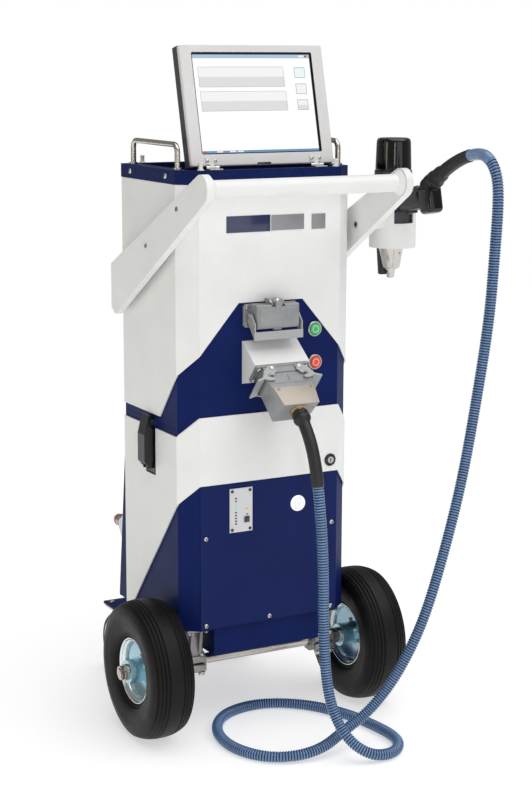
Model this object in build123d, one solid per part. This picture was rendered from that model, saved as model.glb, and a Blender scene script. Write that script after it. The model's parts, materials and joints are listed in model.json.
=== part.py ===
"""Trolley-mounted metal analyzer: sheet-metal cabinet on two pneumatic wheels and two casters, with a
fold-back touchscreen, a spark probe in a side holster and a corrugated hose.

Millimetres. While modelling, X = 0 is the middle plane, the front cover lies at Y = -130 and the floor is
Z = 0. Before export everything is shifted so that the origin is the centre of the assembly's footprint.
"""
import os
from math import acos, atan2, cos, pi, radians, sin, tan

from build123d import *

# ---------------------------------------------------------------- driving dimensions
# cabinet
COVER_HALF = 178.0          # half width over the white covers
FRONT = -130.0              # front face of the covers
REAR = 130.0                # rear face of the cabinet
CHAMFER_X = 33.0            # vertical corner chamfer, across
CHAMFER_Y = 30.0            # vertical corner chamfer, along the side
COVER_T = 2.5               # cover sheet
SHEET_T = 2.0               # chassis sheet
FIT_GAP = 0.3               # gap between pieces that seat on each other
CHASSIS_INSET = COVER_T + 0.5
CHASSIS_BOTTOM = 203.0
SEAM_Z = 582.0              # joint between lower and upper chassis
TRAY_BAND_Z = 1025.0        # lower edge of the tray's band
TRAY_TOP = 1050.0
TRAY_RIM = 26.0             # from the covers' side to the recess
TRAY_HALF = COVER_HALF - TRAY_RIM
TRAY_FRONT = -116.0
TRAY_REAR = 118.0
TRAY_FLOOR = 1014.0
STUD_IN = 40.0              # lid studs, in from the covers' side
STUD_X = COVER_HALF - STUD_IN
STUD_Y = 123.0
STUD_R = 3.5
STUD_H = 14.0

# cover outlines
UPPER_NOTCH_X = 66.0        # half width of the notch's top edge
UPPER_NOTCH_Z = 811.0
UPPER_CORNER_Z = 680.0      # cover edge where front chamfer meets the side
UPPER_SIDE_Y = -30.0
UPPER_SIDE_Z = 595.0
BAND_TOP_Z = 606.0
BAND_TOP_SIDE_Z = 569.0
BAND_LOW_Z = 479.0
BAND_LOW_SIDE_Z = 441.0
DIAGONAL_Y = 91.0
DIAGONAL_Z = 211.0
SKIRT_Y = 107.0
SKIRT_Z = 190.0
POCKET_Y0 = -10.0           # side latch pocket
POCKET_Y1 = 34.0
KEY_IN = 50.0
KEY_X = COVER_HALF - KEY_IN
KEY_Z = 501.0
KEY_R = 10.0
KEY_CORE_R = 6.5

# access panel
PANEL_MARGIN = 1.0
PANEL_HALF = COVER_HALF - CHAMFER_X - PANEL_MARGIN
PANEL_Z0 = 206.0
PANEL_Z1 = 478.0
PANEL_T = 1.8

# inside, measured from the chassis's own walls and floors
CHAMBER_WALL = 12.0
CHAMBER_SIDE_GAP = 23.0
CHAMBER_REAR_GAP = 20.0
CHAMBER_D = 150.0
CHAMBER_H = 200.0
CHAMBER_STAND = 120.0
COMPUTER_SIDE_GAP = 63.0
COMPUTER_H = 90.0
SOURCE_SIDE_GAP = 23.0
SOURCE_FRONT = FRONT + 40.0
SOURCE_D = 150.0
SOURCE_H = 120.0
SOURCE_STAND = 180.0
BATTERY_SIDE_GAP = 33.0
BATTERY_SPLIT = 8.0
BATTERY_D = 170.0
BATTERY_H = 150.0
LEG = 20.0

# base
BASE_HALF = 112.0
BASE_FRONT = -120.0
BASE_REAR = 185.0
BASE_PLATE_Z = 150.0
BASE_PLATE_T = 5.0
BASE_PAN_T = 3.0
PLATE_REAR = 271.0
PLATE_HALF = 167.0
PLATE_FLARE_Y0 = 110.0
PLATE_FLARE_Y1 = 150.0
REAR_COVER_IN = 9.0
REAR_COVER_HALF = COVER_HALF - REAR_COVER_IN
REAR_COVER_TOP = 560.0
REAR_COVER_BOTTOM = 193.0
REAR_COVER_Y_TOP = 142.0
REAR_COVER_Y_LOW = 184.0
REAR_COVER_HEEL = 8.0
LOUVRE_HALF = 60.0
LOUVRE_Z = (440.0, 455.0, 470.0, 485.0, 500.0)

# axle and wheels
AXLE_R = 10.0
AXLE_Y = -74.0
AXLE_Z = 130.0
TYRE_R = 130.0
TYRE_W = 85.0
RIM_R = 62.0
HUB_R = 22.0
HUB_W = 86.0
BORE_PLAY = 0.05
CLAMP_IN = 15.0             # clamps' outer ends, in from the covers' side
CLAMP_W = 48.0
CLAMP_X1 = COVER_HALF - CLAMP_IN
CLAMP_X0 = CLAMP_X1 - CLAMP_W
AXLE_SPACER = 20.7          # collar between clamp and hub
WHEEL_X = CLAMP_X1 + AXLE_SPACER + HUB_W / 2
CLAMP_HALF = 27.0
CLAMP_FLANGE_T = 8.0
COLLAR_R = 15.0
COLLAR_T = 8.0
CAP_R = 13.0
CAP_T = 6.0

# casters
CASTER_X = 132.0
CASTER_Y = 226.0
CASTER_WHEEL_R = 62.5
CASTER_TRAIL = 38.0
CASTER_WHEEL_W = 32.0
CASTER_TYRE_T = 12.0
CASTER_PLATE_T = 4.0
CASTER_RACE_R = 27.0
CASTER_RACE_H = 7.0
FORK_T = 3.0
FORK_W = 42.0               # outside width over the two fork legs
CASTER_BOLT_R = 5.0

# push handle and lift handles
BAR_Y = -256.0
BAR_Z = 1027.0
BAR_R = 16.0
BAR_WALL = 2.5
BAR_COLLAR_R = 22.5
ARM_GAP = 13.0              # from the covers to each arm's inner face
ARM_X = COVER_HALF + ARM_GAP
ARM_T = 14.0
ARM_R = 26.0
ARM_REAR_Y = 123.0
ARM_REAR_TOP = 864.0
ARM_REAR_LOW = 781.0
ARM_HEEL_Y = 106.0
ARM_HEEL_Z = 770.0
ARM_FIXINGS = ((-35.0, 911.0), (70.0, 850.0))
ARM_SCREWS = ((-164.0, 987.0), (-35.0, 911.0))
LIFT_IN = 13.0
LIFT_X = COVER_HALF - LIFT_IN
LIFT_R = 5.0
LIFT_Y0 = -85.0
LIFT_Y1 = 103.0
LIFT_Z = 1094.0
LIFT_BEND_R = 14.0

# monitor, in its own plane: across, up the screen, out of the screen
MON_W = 292.0
MON_H = 218.0
MON_T = 33.0
MON_WALL = 4.0
MON_TILT = 13.8
MON_Y = -104.0              # lower front edge
MON_Z = 1056.0
BEZEL_T = 8.0
BEZEL_CORNER_R = 4.0
WINDOW_CORNER_R = 3.0
SCREEN_W = 246.0
SCREEN_H = 184.0
SCREEN_LOW = 21.0
HINGE_X = 107.0
HINGE_R = 3.0
HINGE_PIN_R = 1.2
HINGE_SEG = 8.0
HINGE_OFF = 3.35            # pivot below and in front of the monitor's edge

# holster and probe
HOLSTER_REACH = 77.0        # from the right arm to the cup's axis
HOLSTER_X = ARM_X + ARM_T + HOLSTER_REACH
HOLSTER_Y = -94.0
CUP_R = 44.0
CUP_WALL = 4.0
CUP_Z0 = 893.0
CUP_Z1 = 997.0
CUP_SLOT_HALF = 21.0
CUP_SLOT_Z = 940.0
CUP_HOLE_R = 31.0
TUBE_R = 13.0
TUBE_Y = -111.0
TUBE_Z = 942.0
HEAD_R = 38.0
HEAD_TOP = 1037.0
CAP_BASE_R = 34.0
CAP_TOP_R = 32.0
CAP_TOP_Z = 1098.0
CAP_EDGE_R = 5.0
GRIP_TILT = 13.0
GRIP_Z = 981.0              # grip's axis at the head's front
GRIP_H = 40.0
GRIP_W = 36.0
GRIP_LEN = 72.0             # from the head's front face to the hose block
BLOCK_L = 58.0
NOZZLE_R0 = 22.0
NOZZLE_R1 = 14.5
NOZZLE_Z1 = 855.0
TIP_R0 = 8.0
TIP_R1 = 6.0
TIP_Z = 838.0
TRIGGER_TRAVEL = 5.0
TRIGGER_W = 12.0
TRIGGER_A = 12.0            # trigger's span along the grip
TRIGGER_B = 34.0
TRIGGER_DEEP = 6.0

# sockets and plug
SOCKET_X = -2.0
SOCKET_L = 84.0             # housing length
SOCKET_W = 43.0
FLANGE_L = 110.0
FLANGE_T = 5.0
SPARE_Z = 787.0             # centre of the covered socket
SPARE_DEPTH = 24.0
FLAP_T = 11.0
CROWN_H = 2.6               # raised panel on the flap
WEDGE_HALF = 56.0
WEDGE_TOP_Z = 741.0
WEDGE_LIP_Y = -178.0
WEDGE_LIP_Z = 704.0
WEDGE_LOW_Y = -149.0
WEDGE_LOW_Z = 671.0
WEDGE_FOOT_Z = 662.0
WEDGE_WALL = 3.0
PROBE_SOCKET_H = 18.0       # housing height above its flange
HOOD_H = 74.0
HOOD_L = 92.0
LEVER_T = 2.5

# front controls
BEZEL_R = 15.0
BUTTON_R = 11.0
BARREL_R = BUTTON_R + 0.6   # clearance bore round a button
BEZEL_H = 4.0
BUTTON_PROUD = 5.0
START_POS = (93.0, 753.0)
STOP_POS = (94.0, 691.0)
POWER_POS = (59.0, 425.0)
CHARGE_X0 = -85.0
CHARGE_X1 = -38.0
CHARGE_Z0 = 385.0
CHARGE_Z1 = 468.0
CHARGE_T = 2.0
CHARGE_BUTTON = (-50.0, 408.0)
CHARGE_BUTTON_SIDE = 8.0
SCREW_R = 4.5
SCREW_H = 2.4
PANEL_SCREW_X = PANEL_HALF - 11.0
PANEL_SCREWS = ((-PANEL_SCREW_X, 379.0), (-PANEL_SCREW_X, 213.0), (0.0, 213.0), (PANEL_SCREW_X, 213.0),
                (PANEL_SCREW_X, 379.0))

# side latches
LATCH_Y = 12.0
LATCH_W = 30.0
LATCH_PIVOT_Z = 498.0
LATCH_PIVOT_R = 3.0
LATCH_TOP = 592.0

# gas inlet on the rear cover
GAS_X = -154.0
GAS_Z = 338.0
GAS_BRACKET_OUT = 25.0
GAS_COUPLING_L = 30.0
GAS_BORE_R = 3.6
GAS_BORE_L = 18.0

# hose, from the plug's sleeve over the floor to the probe's sleeve
HOSE_R = 10.5
HOSE_ROUTE = (
    (2, -302, 502), (4, -311, 440), (6, -317, 345), (6, -320, 235), (9, -327, 138),
    (19, -344, 76), (38, -370, 36), (70, -390, 15), (112, -390, 11), (146, -362, 11), (160, -318, 11),
    (156, -262, 11), (142, -188, 11), (98, -102, 11), (22, -52, 11), (-66, -68, 11),
    (-122, -138, 11), (-134, -232, 11), (-92, -310, 11), (-10, -332, 16), (68, -304, 38),
    (118, -302, 62), (160, -324, 128), (198, -351, 232), (234, -358, 355), (268, -364, 495),
    (291, -370, 645), (301, -388, 790), (299, -402, 915), (293, -416, 990), (290, -418, 1036),
    (288, -404, 1068), (285, -374, 1085), (282, -342, 1077),
)
PLUG_SLEEVE_R = 13.0


# ---------------------------------------------------------------- small helpers
def block(x0, x1, y0, y1, z0, z1):
    """Box between two corners."""
    return Pos((x0 + x1) / 2, (y0 + y1) / 2, (z0 + z1) / 2) * Box(x1 - x0, y1 - y0, z1 - z0)


def rod(axis, start, end, centre, radius):
    """Round bar along X, Y or Z from start to end; centre holds its two other coordinates."""
    bar = Cylinder(radius, end - start)
    middle = (start + end) / 2
    if axis == "X":
        return Pos(middle, *centre) * Rot(0, 90, 0) * bar
    if axis == "Y":
        return Pos(centre[0], middle, centre[1]) * Rot(90, 0, 0) * bar
    return Pos(*centre, middle) * bar


def prism_x(points, x0, x1):
    """Extrude a (y, z) outline from x0 to x1."""
    return extrude(Plane.YZ.offset(x0) * make_face(Polyline(*points, close=True)), x1 - x0)


def prism_y(points, y0, y1):
    """Extrude an (x, z) outline from y0 to y1."""
    return extrude(Plane.XZ.offset(-y1) * make_face(Polyline(*points, close=True)), y1 - y0)


def prism_z(points, z0, z1):
    """Extrude an (x, y) outline from z0 to z1."""
    return extrude(Plane.XY.offset(z0) * make_face(Polyline(*points, close=True)), z1 - z0)


def turned_x(points, x, y, z):
    """Revolve a (along, radius) outline about an axis parallel to X through (y, z)."""
    face = make_face(Polyline(*points, close=True))
    return Pos(x, y, z) * revolve(face, Axis.X)


def turned_z(points, x, y):
    """Revolve a (radius, z) outline about a vertical axis."""
    face = Plane.XZ * make_face(Polyline(*points, close=True))
    return Pos(x, y, 0) * revolve(face, Axis.Z)


def group(pieces):
    """Several separate solids as one node."""
    return Compound([solid for piece in pieces for solid in piece.solids()])


def body_plan(inset, rear=REAR):
    """Plan of the cabinet with chamfered front corners, moved inwards by inset."""
    front_turn = atan2(CHAMFER_Y, CHAMFER_X)
    front_x = COVER_HALF - CHAMFER_X - inset * tan(front_turn / 2)
    side_y = FRONT + CHAMFER_Y + inset * tan((pi / 2 - front_turn) / 2)
    side_x = COVER_HALF - inset
    front_y = FRONT + inset
    return ((-side_x, rear), (-side_x, side_y), (-front_x, front_y),
            (front_x, front_y), (side_x, side_y), (side_x, rear))


# ---------------------------------------------------------------- cabinet
CHASSIS_HALF = COVER_HALF - CHASSIS_INSET
CHASSIS_FRONT = FRONT + CHASSIS_INSET


def sheet_box(z0, z1, floor):
    """Open-topped sheet box on the chassis plan; floor is the thickness of its bottom."""
    inner = CHASSIS_INSET + SHEET_T
    outside = prism_z(body_plan(CHASSIS_INSET), z0, z1)
    return outside - prism_z(body_plan(inner, REAR - SHEET_T), z0 + floor, z1 + 1)


def lower_chassis():
    shell = sheet_box(CHASSIS_BOTTOM, SEAM_Z - FIT_GAP, 3.0)
    shell -= rod("Y", FRONT - 1, CHASSIS_FRONT + SHEET_T + 1, (KEY_X, KEY_Z), KEY_R + FIT_GAP)
    shell -= rod("Y", FRONT - 1, CHASSIS_FRONT + SHEET_T + 1, POWER_POS, BARREL_R)
    return shell


def upper_chassis():
    shell = sheet_box(SEAM_Z, TRAY_TOP - SHEET_T - FIT_GAP, 3.0)
    for place in (START_POS, STOP_POS):
        shell -= rod("Y", FRONT - 1, CHASSIS_FRONT + SHEET_T + 1, place, BARREL_R)
    return shell


def cover_shell(z0, z1):
    outside = prism_z(body_plan(0), z0, z1)
    return outside - prism_z(body_plan(COVER_T, REAR + 1), z0 - 1, z1 + 1)


def upper_cover():
    shell = cover_shell(UPPER_SIDE_Z, TRAY_BAND_Z - FIT_GAP)
    wide = COVER_HALF + 10
    low = UPPER_SIDE_Z - 10
    corner_y = FRONT + CHAMFER_Y
    shell -= prism_y(((-UPPER_NOTCH_X, UPPER_NOTCH_Z), (UPPER_NOTCH_X, UPPER_NOTCH_Z),
                      (COVER_HALF, UPPER_CORNER_Z), (wide, UPPER_CORNER_Z), (wide, low),
                      (-wide, low), (-wide, UPPER_CORNER_Z), (-COVER_HALF, UPPER_CORNER_Z)),
                     FRONT - 5, corner_y)
    shell -= prism_x(((corner_y, UPPER_CORNER_Z), (UPPER_SIDE_Y, UPPER_SIDE_Z),
                      (UPPER_SIDE_Y, low), (corner_y, low)), -wide, wide)
    return shell


def lower_cover():
    shell = cover_shell(SKIRT_Z, BAND_TOP_Z)
    wide = COVER_HALF + 10
    high = BAND_TOP_Z + 10
    low = SKIRT_Z - 10
    corner_x = COVER_HALF - CHAMFER_X
    corner_y = FRONT + CHAMFER_Y
    shell -= prism_x(((corner_y, BAND_TOP_SIDE_Z), (REAR + 1, BAND_TOP_SIDE_Z),
                      (REAR + 1, high), (corner_y, high)), -wide, wide)
    for side in (-1, 1):
        shell -= prism_y(((side * corner_x, BAND_TOP_Z), (side * COVER_HALF, BAND_TOP_SIDE_Z),
                          (side * wide, BAND_TOP_SIDE_Z), (side * wide, high), (side * corner_x, high)),
                         FRONT - 5, corner_y)
    shell -= prism_y(((-corner_x, BAND_LOW_Z), (corner_x, BAND_LOW_Z), (COVER_HALF, BAND_LOW_SIDE_Z),
                      (wide, BAND_LOW_SIDE_Z), (wide, low), (-wide, low), (-wide, BAND_LOW_SIDE_Z),
                      (-COVER_HALF, BAND_LOW_SIDE_Z)), FRONT - 5, corner_y)
    shell -= prism_x(((corner_y, BAND_LOW_SIDE_Z), (DIAGONAL_Y, DIAGONAL_Z), (SKIRT_Y, SKIRT_Z),
                      (SKIRT_Y, low), (corner_y, low)), -wide, wide)
    shell -= block(-wide, wide, POCKET_Y0, POCKET_Y1, BAND_LOW_Z, high)
    shell -= rod("Y", FRONT - 1, FRONT + COVER_T + 1, (KEY_X, KEY_Z), KEY_R + FIT_GAP)
    return shell


PANEL_Y = CHASSIS_FRONT - FIT_GAP    # rear face of the access panel


def access_panel():
    panel = block(-PANEL_HALF, PANEL_HALF, PANEL_Y - PANEL_T, PANEL_Y, PANEL_Z0, PANEL_Z1)
    return panel - rod("Y", PANEL_Y - 5, PANEL_Y + 5, POWER_POS, BARREL_R)


def rear_cover_y(z):
    """Where the rear cover's sloping face lies at a height."""
    fall = (REAR_COVER_TOP - z) / (REAR_COVER_TOP - REAR_COVER_BOTTOM - REAR_COVER_HEEL)
    return REAR_COVER_Y_TOP + (REAR_COVER_Y_LOW - REAR_COVER_Y_TOP) * fall


def rear_cover():
    """Navy box on the back of the lower chassis, deeper towards its foot, with cooling louvres."""
    seat = REAR + FIT_GAP
    heel = REAR_COVER_BOTTOM + REAR_COVER_HEEL
    outline = ((seat, REAR_COVER_BOTTOM), (seat, REAR_COVER_TOP), (REAR_COVER_Y_TOP, REAR_COVER_TOP),
               (REAR_COVER_Y_LOW, heel), (REAR_COVER_Y_LOW, REAR_COVER_BOTTOM))
    inner = ((seat - 1, REAR_COVER_BOTTOM + SHEET_T), (seat - 1, REAR_COVER_TOP - SHEET_T),
             (REAR_COVER_Y_TOP - SHEET_T, REAR_COVER_TOP - SHEET_T), (REAR_COVER_Y_LOW - SHEET_T, heel),
             (REAR_COVER_Y_LOW - SHEET_T, REAR_COVER_BOTTOM + SHEET_T))
    shell = prism_x(outline, -REAR_COVER_HALF, REAR_COVER_HALF)
    shell -= prism_x(inner, SHEET_T - REAR_COVER_HALF, REAR_COVER_HALF - SHEET_T)
    for z in LOUVRE_Z:
        shell -= block(-LOUVRE_HALF, LOUVRE_HALF, REAR + 2, REAR_COVER_Y_LOW + 1, z - 2, z + 2)
    return shell


def top_tray():
    """Tray with an outer band, a recess for the folded monitor and four lid studs."""
    tray = prism_z(body_plan(0, REAR + COVER_T), TRAY_BAND_Z, TRAY_TOP)
    tray -= prism_z(body_plan(COVER_T, REAR + FIT_GAP), TRAY_BAND_Z - 1, TRAY_TOP - SHEET_T)
    clear = CHASSIS_INSET + SHEET_T + FIT_GAP
    pan = block(-TRAY_HALF - SHEET_T, TRAY_HALF + SHEET_T, TRAY_FRONT - SHEET_T, TRAY_REAR + SHEET_T,
                TRAY_FLOOR - SHEET_T, TRAY_TOP)
    tray += pan & prism_z(body_plan(clear), TRAY_FLOOR - SHEET_T, TRAY_TOP)
    recess = block(-TRAY_HALF, TRAY_HALF, TRAY_FRONT, TRAY_REAR, TRAY_FLOOR, TRAY_TOP + 1)
    tray -= recess & prism_z(body_plan(clear + SHEET_T), TRAY_FLOOR, TRAY_TOP + 1)
    for x in (-STUD_X, STUD_X):
        for y in (-STUD_Y, STUD_Y):
            tray += rod("Z", TRAY_TOP - SHEET_T, TRAY_TOP + STUD_H, (x, y), STUD_R)
    return tray


def base_frame():
    """Set-back pan under the cabinet with the flat base plate that carries the casters."""
    pan = block(-BASE_HALF, BASE_HALF, BASE_FRONT, BASE_REAR, BASE_PLATE_Z, CHASSIS_BOTTOM - FIT_GAP)
    pan -= block(BASE_PAN_T - BASE_HALF, BASE_HALF - BASE_PAN_T, BASE_FRONT + BASE_PAN_T,
                 BASE_REAR - BASE_PAN_T, BASE_PLATE_Z + BASE_PLATE_T,
                 REAR_COVER_BOTTOM - FIT_GAP - BASE_PAN_T)
    pan -= block(-BASE_HALF - 1, BASE_HALF + 1, REAR, BASE_REAR + 1, REAR_COVER_BOTTOM - FIT_GAP,
                 CHASSIS_BOTTOM)
    plate = ((-BASE_HALF, BASE_FRONT), (BASE_HALF, BASE_FRONT), (BASE_HALF, PLATE_FLARE_Y0),
             (PLATE_HALF, PLATE_FLARE_Y1), (PLATE_HALF, PLATE_REAR), (-PLATE_HALF, PLATE_REAR),
             (-PLATE_HALF, PLATE_FLARE_Y1), (-BASE_HALF, PLATE_FLARE_Y0))
    return pan + prism_z(plate, BASE_PLATE_Z, BASE_PLATE_Z + BASE_PLATE_T)


# ---------------------------------------------------------------- inside the cabinet
INSIDE_HALF = CHASSIS_HALF - SHEET_T
UPPER_FLOOR = SEAM_Z + 3.0
LOWER_FLOOR = CHASSIS_BOTTOM + 3.0


def optic_chamber():
    """Light-tight spectrometer casting with its fibre inlet, hollow, on four feet."""
    half = INSIDE_HALF - CHAMBER_SIDE_GAP
    rear = REAR - CHAMBER_REAR_GAP
    front = rear - CHAMBER_D
    low = UPPER_FLOOR + CHAMBER_STAND
    high = low + CHAMBER_H
    body = block(-half, half, front, rear, low, high)
    body -= block(CHAMBER_WALL - half, half - CHAMBER_WALL, front + CHAMBER_WALL, rear - CHAMBER_WALL,
                  low + CHAMBER_WALL, high - CHAMBER_WALL)
    body += rod("Y", front - 22, front, (0, high - 70), 14)
    for x in (LEG - half, half - LEG):
        for y in (front + LEG, rear - LEG):
            body += block(x - LEG / 2, x + LEG / 2, y - LEG / 2, y + LEG / 2, UPPER_FLOOR, low)
    return body


def computer_unit():
    half = INSIDE_HALF - COMPUTER_SIDE_GAP
    rear = REAR - CHAMBER_REAR_GAP - LEG
    body = block(-half, half, rear - COMPUTER_H, rear, UPPER_FLOOR, UPPER_FLOOR + COMPUTER_H)
    for x in (-80, -40, 0, 40, 80):
        body -= block(x - 2, x + 2, rear - COMPUTER_H - 1, rear - 30, UPPER_FLOOR + COMPUTER_H - 6,
                      UPPER_FLOOR + COMPUTER_H + 1)
    return body


def spark_source():
    half = INSIDE_HALF - SOURCE_SIDE_GAP
    rear = SOURCE_FRONT + SOURCE_D
    low = LOWER_FLOOR + SOURCE_STAND
    body = block(-half, half, SOURCE_FRONT, rear, low, low + SOURCE_H)
    for side in (-1, 1):
        for y in (SOURCE_FRONT + LEG, rear - LEG):
            x0, x1 = sorted((side * half, side * (half + LEG)))
            body += block(x0, x1, y - LEG / 2, y + LEG / 2, LOWER_FLOOR, low + SOURCE_H)
    return body


def battery_pack():
    """Two batteries side by side with their terminal posts."""
    packs = []
    half = INSIDE_HALF - BATTERY_SIDE_GAP
    top = LOWER_FLOOR + BATTERY_H
    for side in (-1, 1):
        x0, x1 = sorted((side * BATTERY_SPLIT / 2, side * half))
        pack = block(x0, x1, REAR - 20 - BATTERY_D, REAR - 20, LOWER_FLOOR, top)
        for x in (x0 + 30, x1 - 30):
            pack += rod("Z", top, top + 10, (x, REAR - BATTERY_D), 6)
        packs.append(pack)
    return group(packs)


# ---------------------------------------------------------------- wheels, axle, casters
def tyre_profile():
    """Ribbed pneumatic section as (across, radius)."""
    half = TYRE_W / 2
    crown = [(-half * 0.74, TYRE_R - 8)]
    for rib in (-0.56, -0.19, 0.19, 0.56):
        crown += [((rib - 0.13) * half, TYRE_R), ((rib + 0.13) * half, TYRE_R)]
        if rib < 0.5:
            crown += [((rib + 0.16) * half, TYRE_R - 4), ((rib + 0.21) * half, TYRE_R - 4)]
    crown += [(half * 0.74, TYRE_R - 8)]
    side = [(half * 0.93, TYRE_R - 20), (half, TYRE_R - 36), (half * 0.93, TYRE_R - 52),
            (half * 0.76, RIM_R + 3), (half * 0.64, RIM_R + 1), (half * 0.64, RIM_R - 4.5)]
    mirrored = [(-a, r) for a, r in reversed(side)]
    bead = [(half * 0.5, RIM_R - 6.8), (-half * 0.5, RIM_R - 6.8)]
    return crown + side + bead + mirrored


def tyre(side):
    return turned_x(tyre_profile(), side * WHEEL_X, AXLE_Y, AXLE_Z)


def rim(side):
    """Two pressed dishes bolted back to back round a hub tube; the bore runs on the axle."""
    half = TYRE_W / 2
    seat = RIM_R - 7.3
    ring = [(-half * 0.72, seat - 4), (-half * 0.72, RIM_R - 1), (-half * 0.66, RIM_R - 1),
            (-half * 0.66, RIM_R - 5), (-half * 0.5, seat), (half * 0.5, seat),
            (half * 0.66, RIM_R - 5), (half * 0.66, RIM_R - 1), (half * 0.72, RIM_R - 1),
            (half * 0.72, seat - 4)]
    dish = [(half * 0.72, seat - 4), (half * 0.30, seat - 9), (4, HUB_R + 10), (4, HUB_R - 1),
            (-4, HUB_R - 1), (-4, HUB_R + 10), (-half * 0.30, seat - 9)]
    wheel = turned_x(ring + dish[1:], side * WHEEL_X, AXLE_Y, AXLE_Z)
    wheel += rod("X", side * WHEEL_X - HUB_W / 2, side * WHEEL_X + HUB_W / 2, (AXLE_Y, AXLE_Z), HUB_R)
    return wheel - rod("X", side * WHEEL_X - HUB_W, side * WHEEL_X + HUB_W, (AXLE_Y, AXLE_Z),
                       AXLE_R + BORE_PLAY)


HUB_OUT = WHEEL_X + HUB_W / 2
HUB_IN = WHEEL_X - HUB_W / 2


def axle():
    """Stainless through-axle with a collar and a cap nut outside each wheel."""
    reach = HUB_OUT + FIT_GAP
    shaft = rod("X", -reach - COLLAR_T, reach + COLLAR_T, (AXLE_Y, AXLE_Z), AXLE_R)
    for side in (-1, 1):
        inner, outer = sorted((side * reach, side * (reach + COLLAR_T)))
        shaft += rod("X", inner, outer, (AXLE_Y, AXLE_Z), COLLAR_R)
        inner, outer = sorted((side * (reach + COLLAR_T), side * (reach + COLLAR_T + CAP_T)))
        shaft += rod("X", inner, outer, (AXLE_Y, AXLE_Z), CAP_R)
        inner, outer = sorted((side * (CLAMP_X1 + FIT_GAP), side * (HUB_IN - FIT_GAP)))
        shaft += rod("X", inner, outer, (AXLE_Y, AXLE_Z), COLLAR_R)
    return shaft


def axle_clamps():
    """Cast brackets under the cabinet: top flange, web and a split block bolted round the axle."""
    clamps = []
    top = CHASSIS_BOTTOM - FIT_GAP
    for side in (-1, 1):
        x0, x1 = sorted((side * CLAMP_X0, side * CLAMP_X1))
        piece = block(x0, x1, AXLE_Y - CLAMP_HALF - 8, AXLE_Y + CLAMP_HALF + 8, top - CLAMP_FLANGE_T, top)
        piece += prism_x(((AXLE_Y - CLAMP_HALF, AXLE_Z + 2), (AXLE_Y + CLAMP_HALF, AXLE_Z + 2),
                          (AXLE_Y + CLAMP_HALF - 4, top - CLAMP_FLANGE_T),
                          (AXLE_Y - CLAMP_HALF + 4, top - CLAMP_FLANGE_T)), x0 + 4, x1 - 4)
        piece += block(x0 + 2, x1 - 2, AXLE_Y - CLAMP_HALF, AXLE_Y + CLAMP_HALF, AXLE_Z + 1, AXLE_Z + 14)
        piece += block(x0 + 2, x1 - 2, AXLE_Y - CLAMP_HALF, AXLE_Y + CLAMP_HALF, AXLE_Z - 18, AXLE_Z - 1)
        for y in (AXLE_Y - CLAMP_HALF + 7, AXLE_Y + CLAMP_HALF - 7):
            for x in (x0 + 11, x1 - 11):
                piece += rod("Z", AXLE_Z - 24, AXLE_Z + 19, (x, y), 4.5)
        piece -= rod("X", x0 - 1, x1 + 1, (AXLE_Y, AXLE_Z), AXLE_R)
        clamps.append(piece)
    return group(clamps)


PIN_Z = CASTER_WHEEL_R
WHEEL_Y = CASTER_Y + CASTER_TRAIL
FORK_TOP = BASE_PLATE_Z - FIT_GAP - CASTER_PLATE_T - CASTER_RACE_H - FIT_GAP


def caster_plates():
    """Fixed top plates with the upper half of each swivel race."""
    plates = []
    for x in (-CASTER_X, CASTER_X):
        top = BASE_PLATE_Z - FIT_GAP
        plate = block(x - 34, x + 34, CASTER_Y - 42, CASTER_Y + 42, top - CASTER_PLATE_T, top)
        plate += rod("Z", top - CASTER_PLATE_T - CASTER_RACE_H, top - CASTER_PLATE_T, (x, CASTER_Y),
                     CASTER_RACE_R)
        plates.append(plate)
    return group(plates)


def caster_fork(side):
    """Pressed fork with its crown, two legs and the wheel bolt."""
    x = side * CASTER_X
    fork = rod("Z", FORK_TOP - FORK_T - 3, FORK_TOP, (x, CASTER_Y), CASTER_RACE_R + 2)
    fork += block(x - FORK_W / 2, x + FORK_W / 2, CASTER_Y - 18, CASTER_Y + 22, FORK_TOP - FORK_T - 3,
                  FORK_TOP - 3)
    for leg in (-1, 1):
        x0, x1 = sorted((x + leg * (FORK_W / 2 - FORK_T), x + leg * FORK_W / 2))
        fork += prism_x(((CASTER_Y - 18, FORK_TOP - 3), (CASTER_Y + 22, FORK_TOP - 3),
                         (WHEEL_Y + 12, PIN_Z + 4), (WHEEL_Y + 8, PIN_Z - 10), (WHEEL_Y - 8, PIN_Z - 10),
                         (WHEEL_Y - 12, PIN_Z + 2)), x0, x1)
    fork += rod("X", x - FORK_W / 2 - 5, x + FORK_W / 2 + 5, (WHEEL_Y, PIN_Z), CASTER_BOLT_R)
    return fork


def caster_wheel(side):
    """Rubber tyre on a plastic centre with a hub."""
    half = CASTER_WHEEL_W / 2
    hub = FORK_W / 2 - FORK_T - FIT_GAP
    bore = CASTER_BOLT_R + BORE_PLAY
    core = CASTER_WHEEL_R - CASTER_TYRE_T
    outline = ((-hub, bore), (-hub, 13), (-half * 0.4, 16), (-half * 0.4, core - 6), (-half, core - 3),
               (-half, CASTER_WHEEL_R - 5), (-half * 0.6, CASTER_WHEEL_R), (half * 0.6, CASTER_WHEEL_R),
               (half, CASTER_WHEEL_R - 5), (half, core - 3), (half * 0.4, core - 6), (half * 0.4, 16),
               (hub, 13), (hub, bore))
    return turned_x(outline, side * CASTER_X, WHEEL_Y, PIN_Z)


# ---------------------------------------------------------------- handles
def tangent_point(centre, radius, point, turn):
    """Where the line from point touches the circle; turn is +1 or -1 for the two sides."""
    dy, dz = point[0] - centre[0], point[1] - centre[1]
    angle = atan2(dz, dy) + turn * acos(radius / (dy * dy + dz * dz) ** 0.5)
    return centre[0] + radius * cos(angle), centre[1] + radius * sin(angle)


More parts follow.
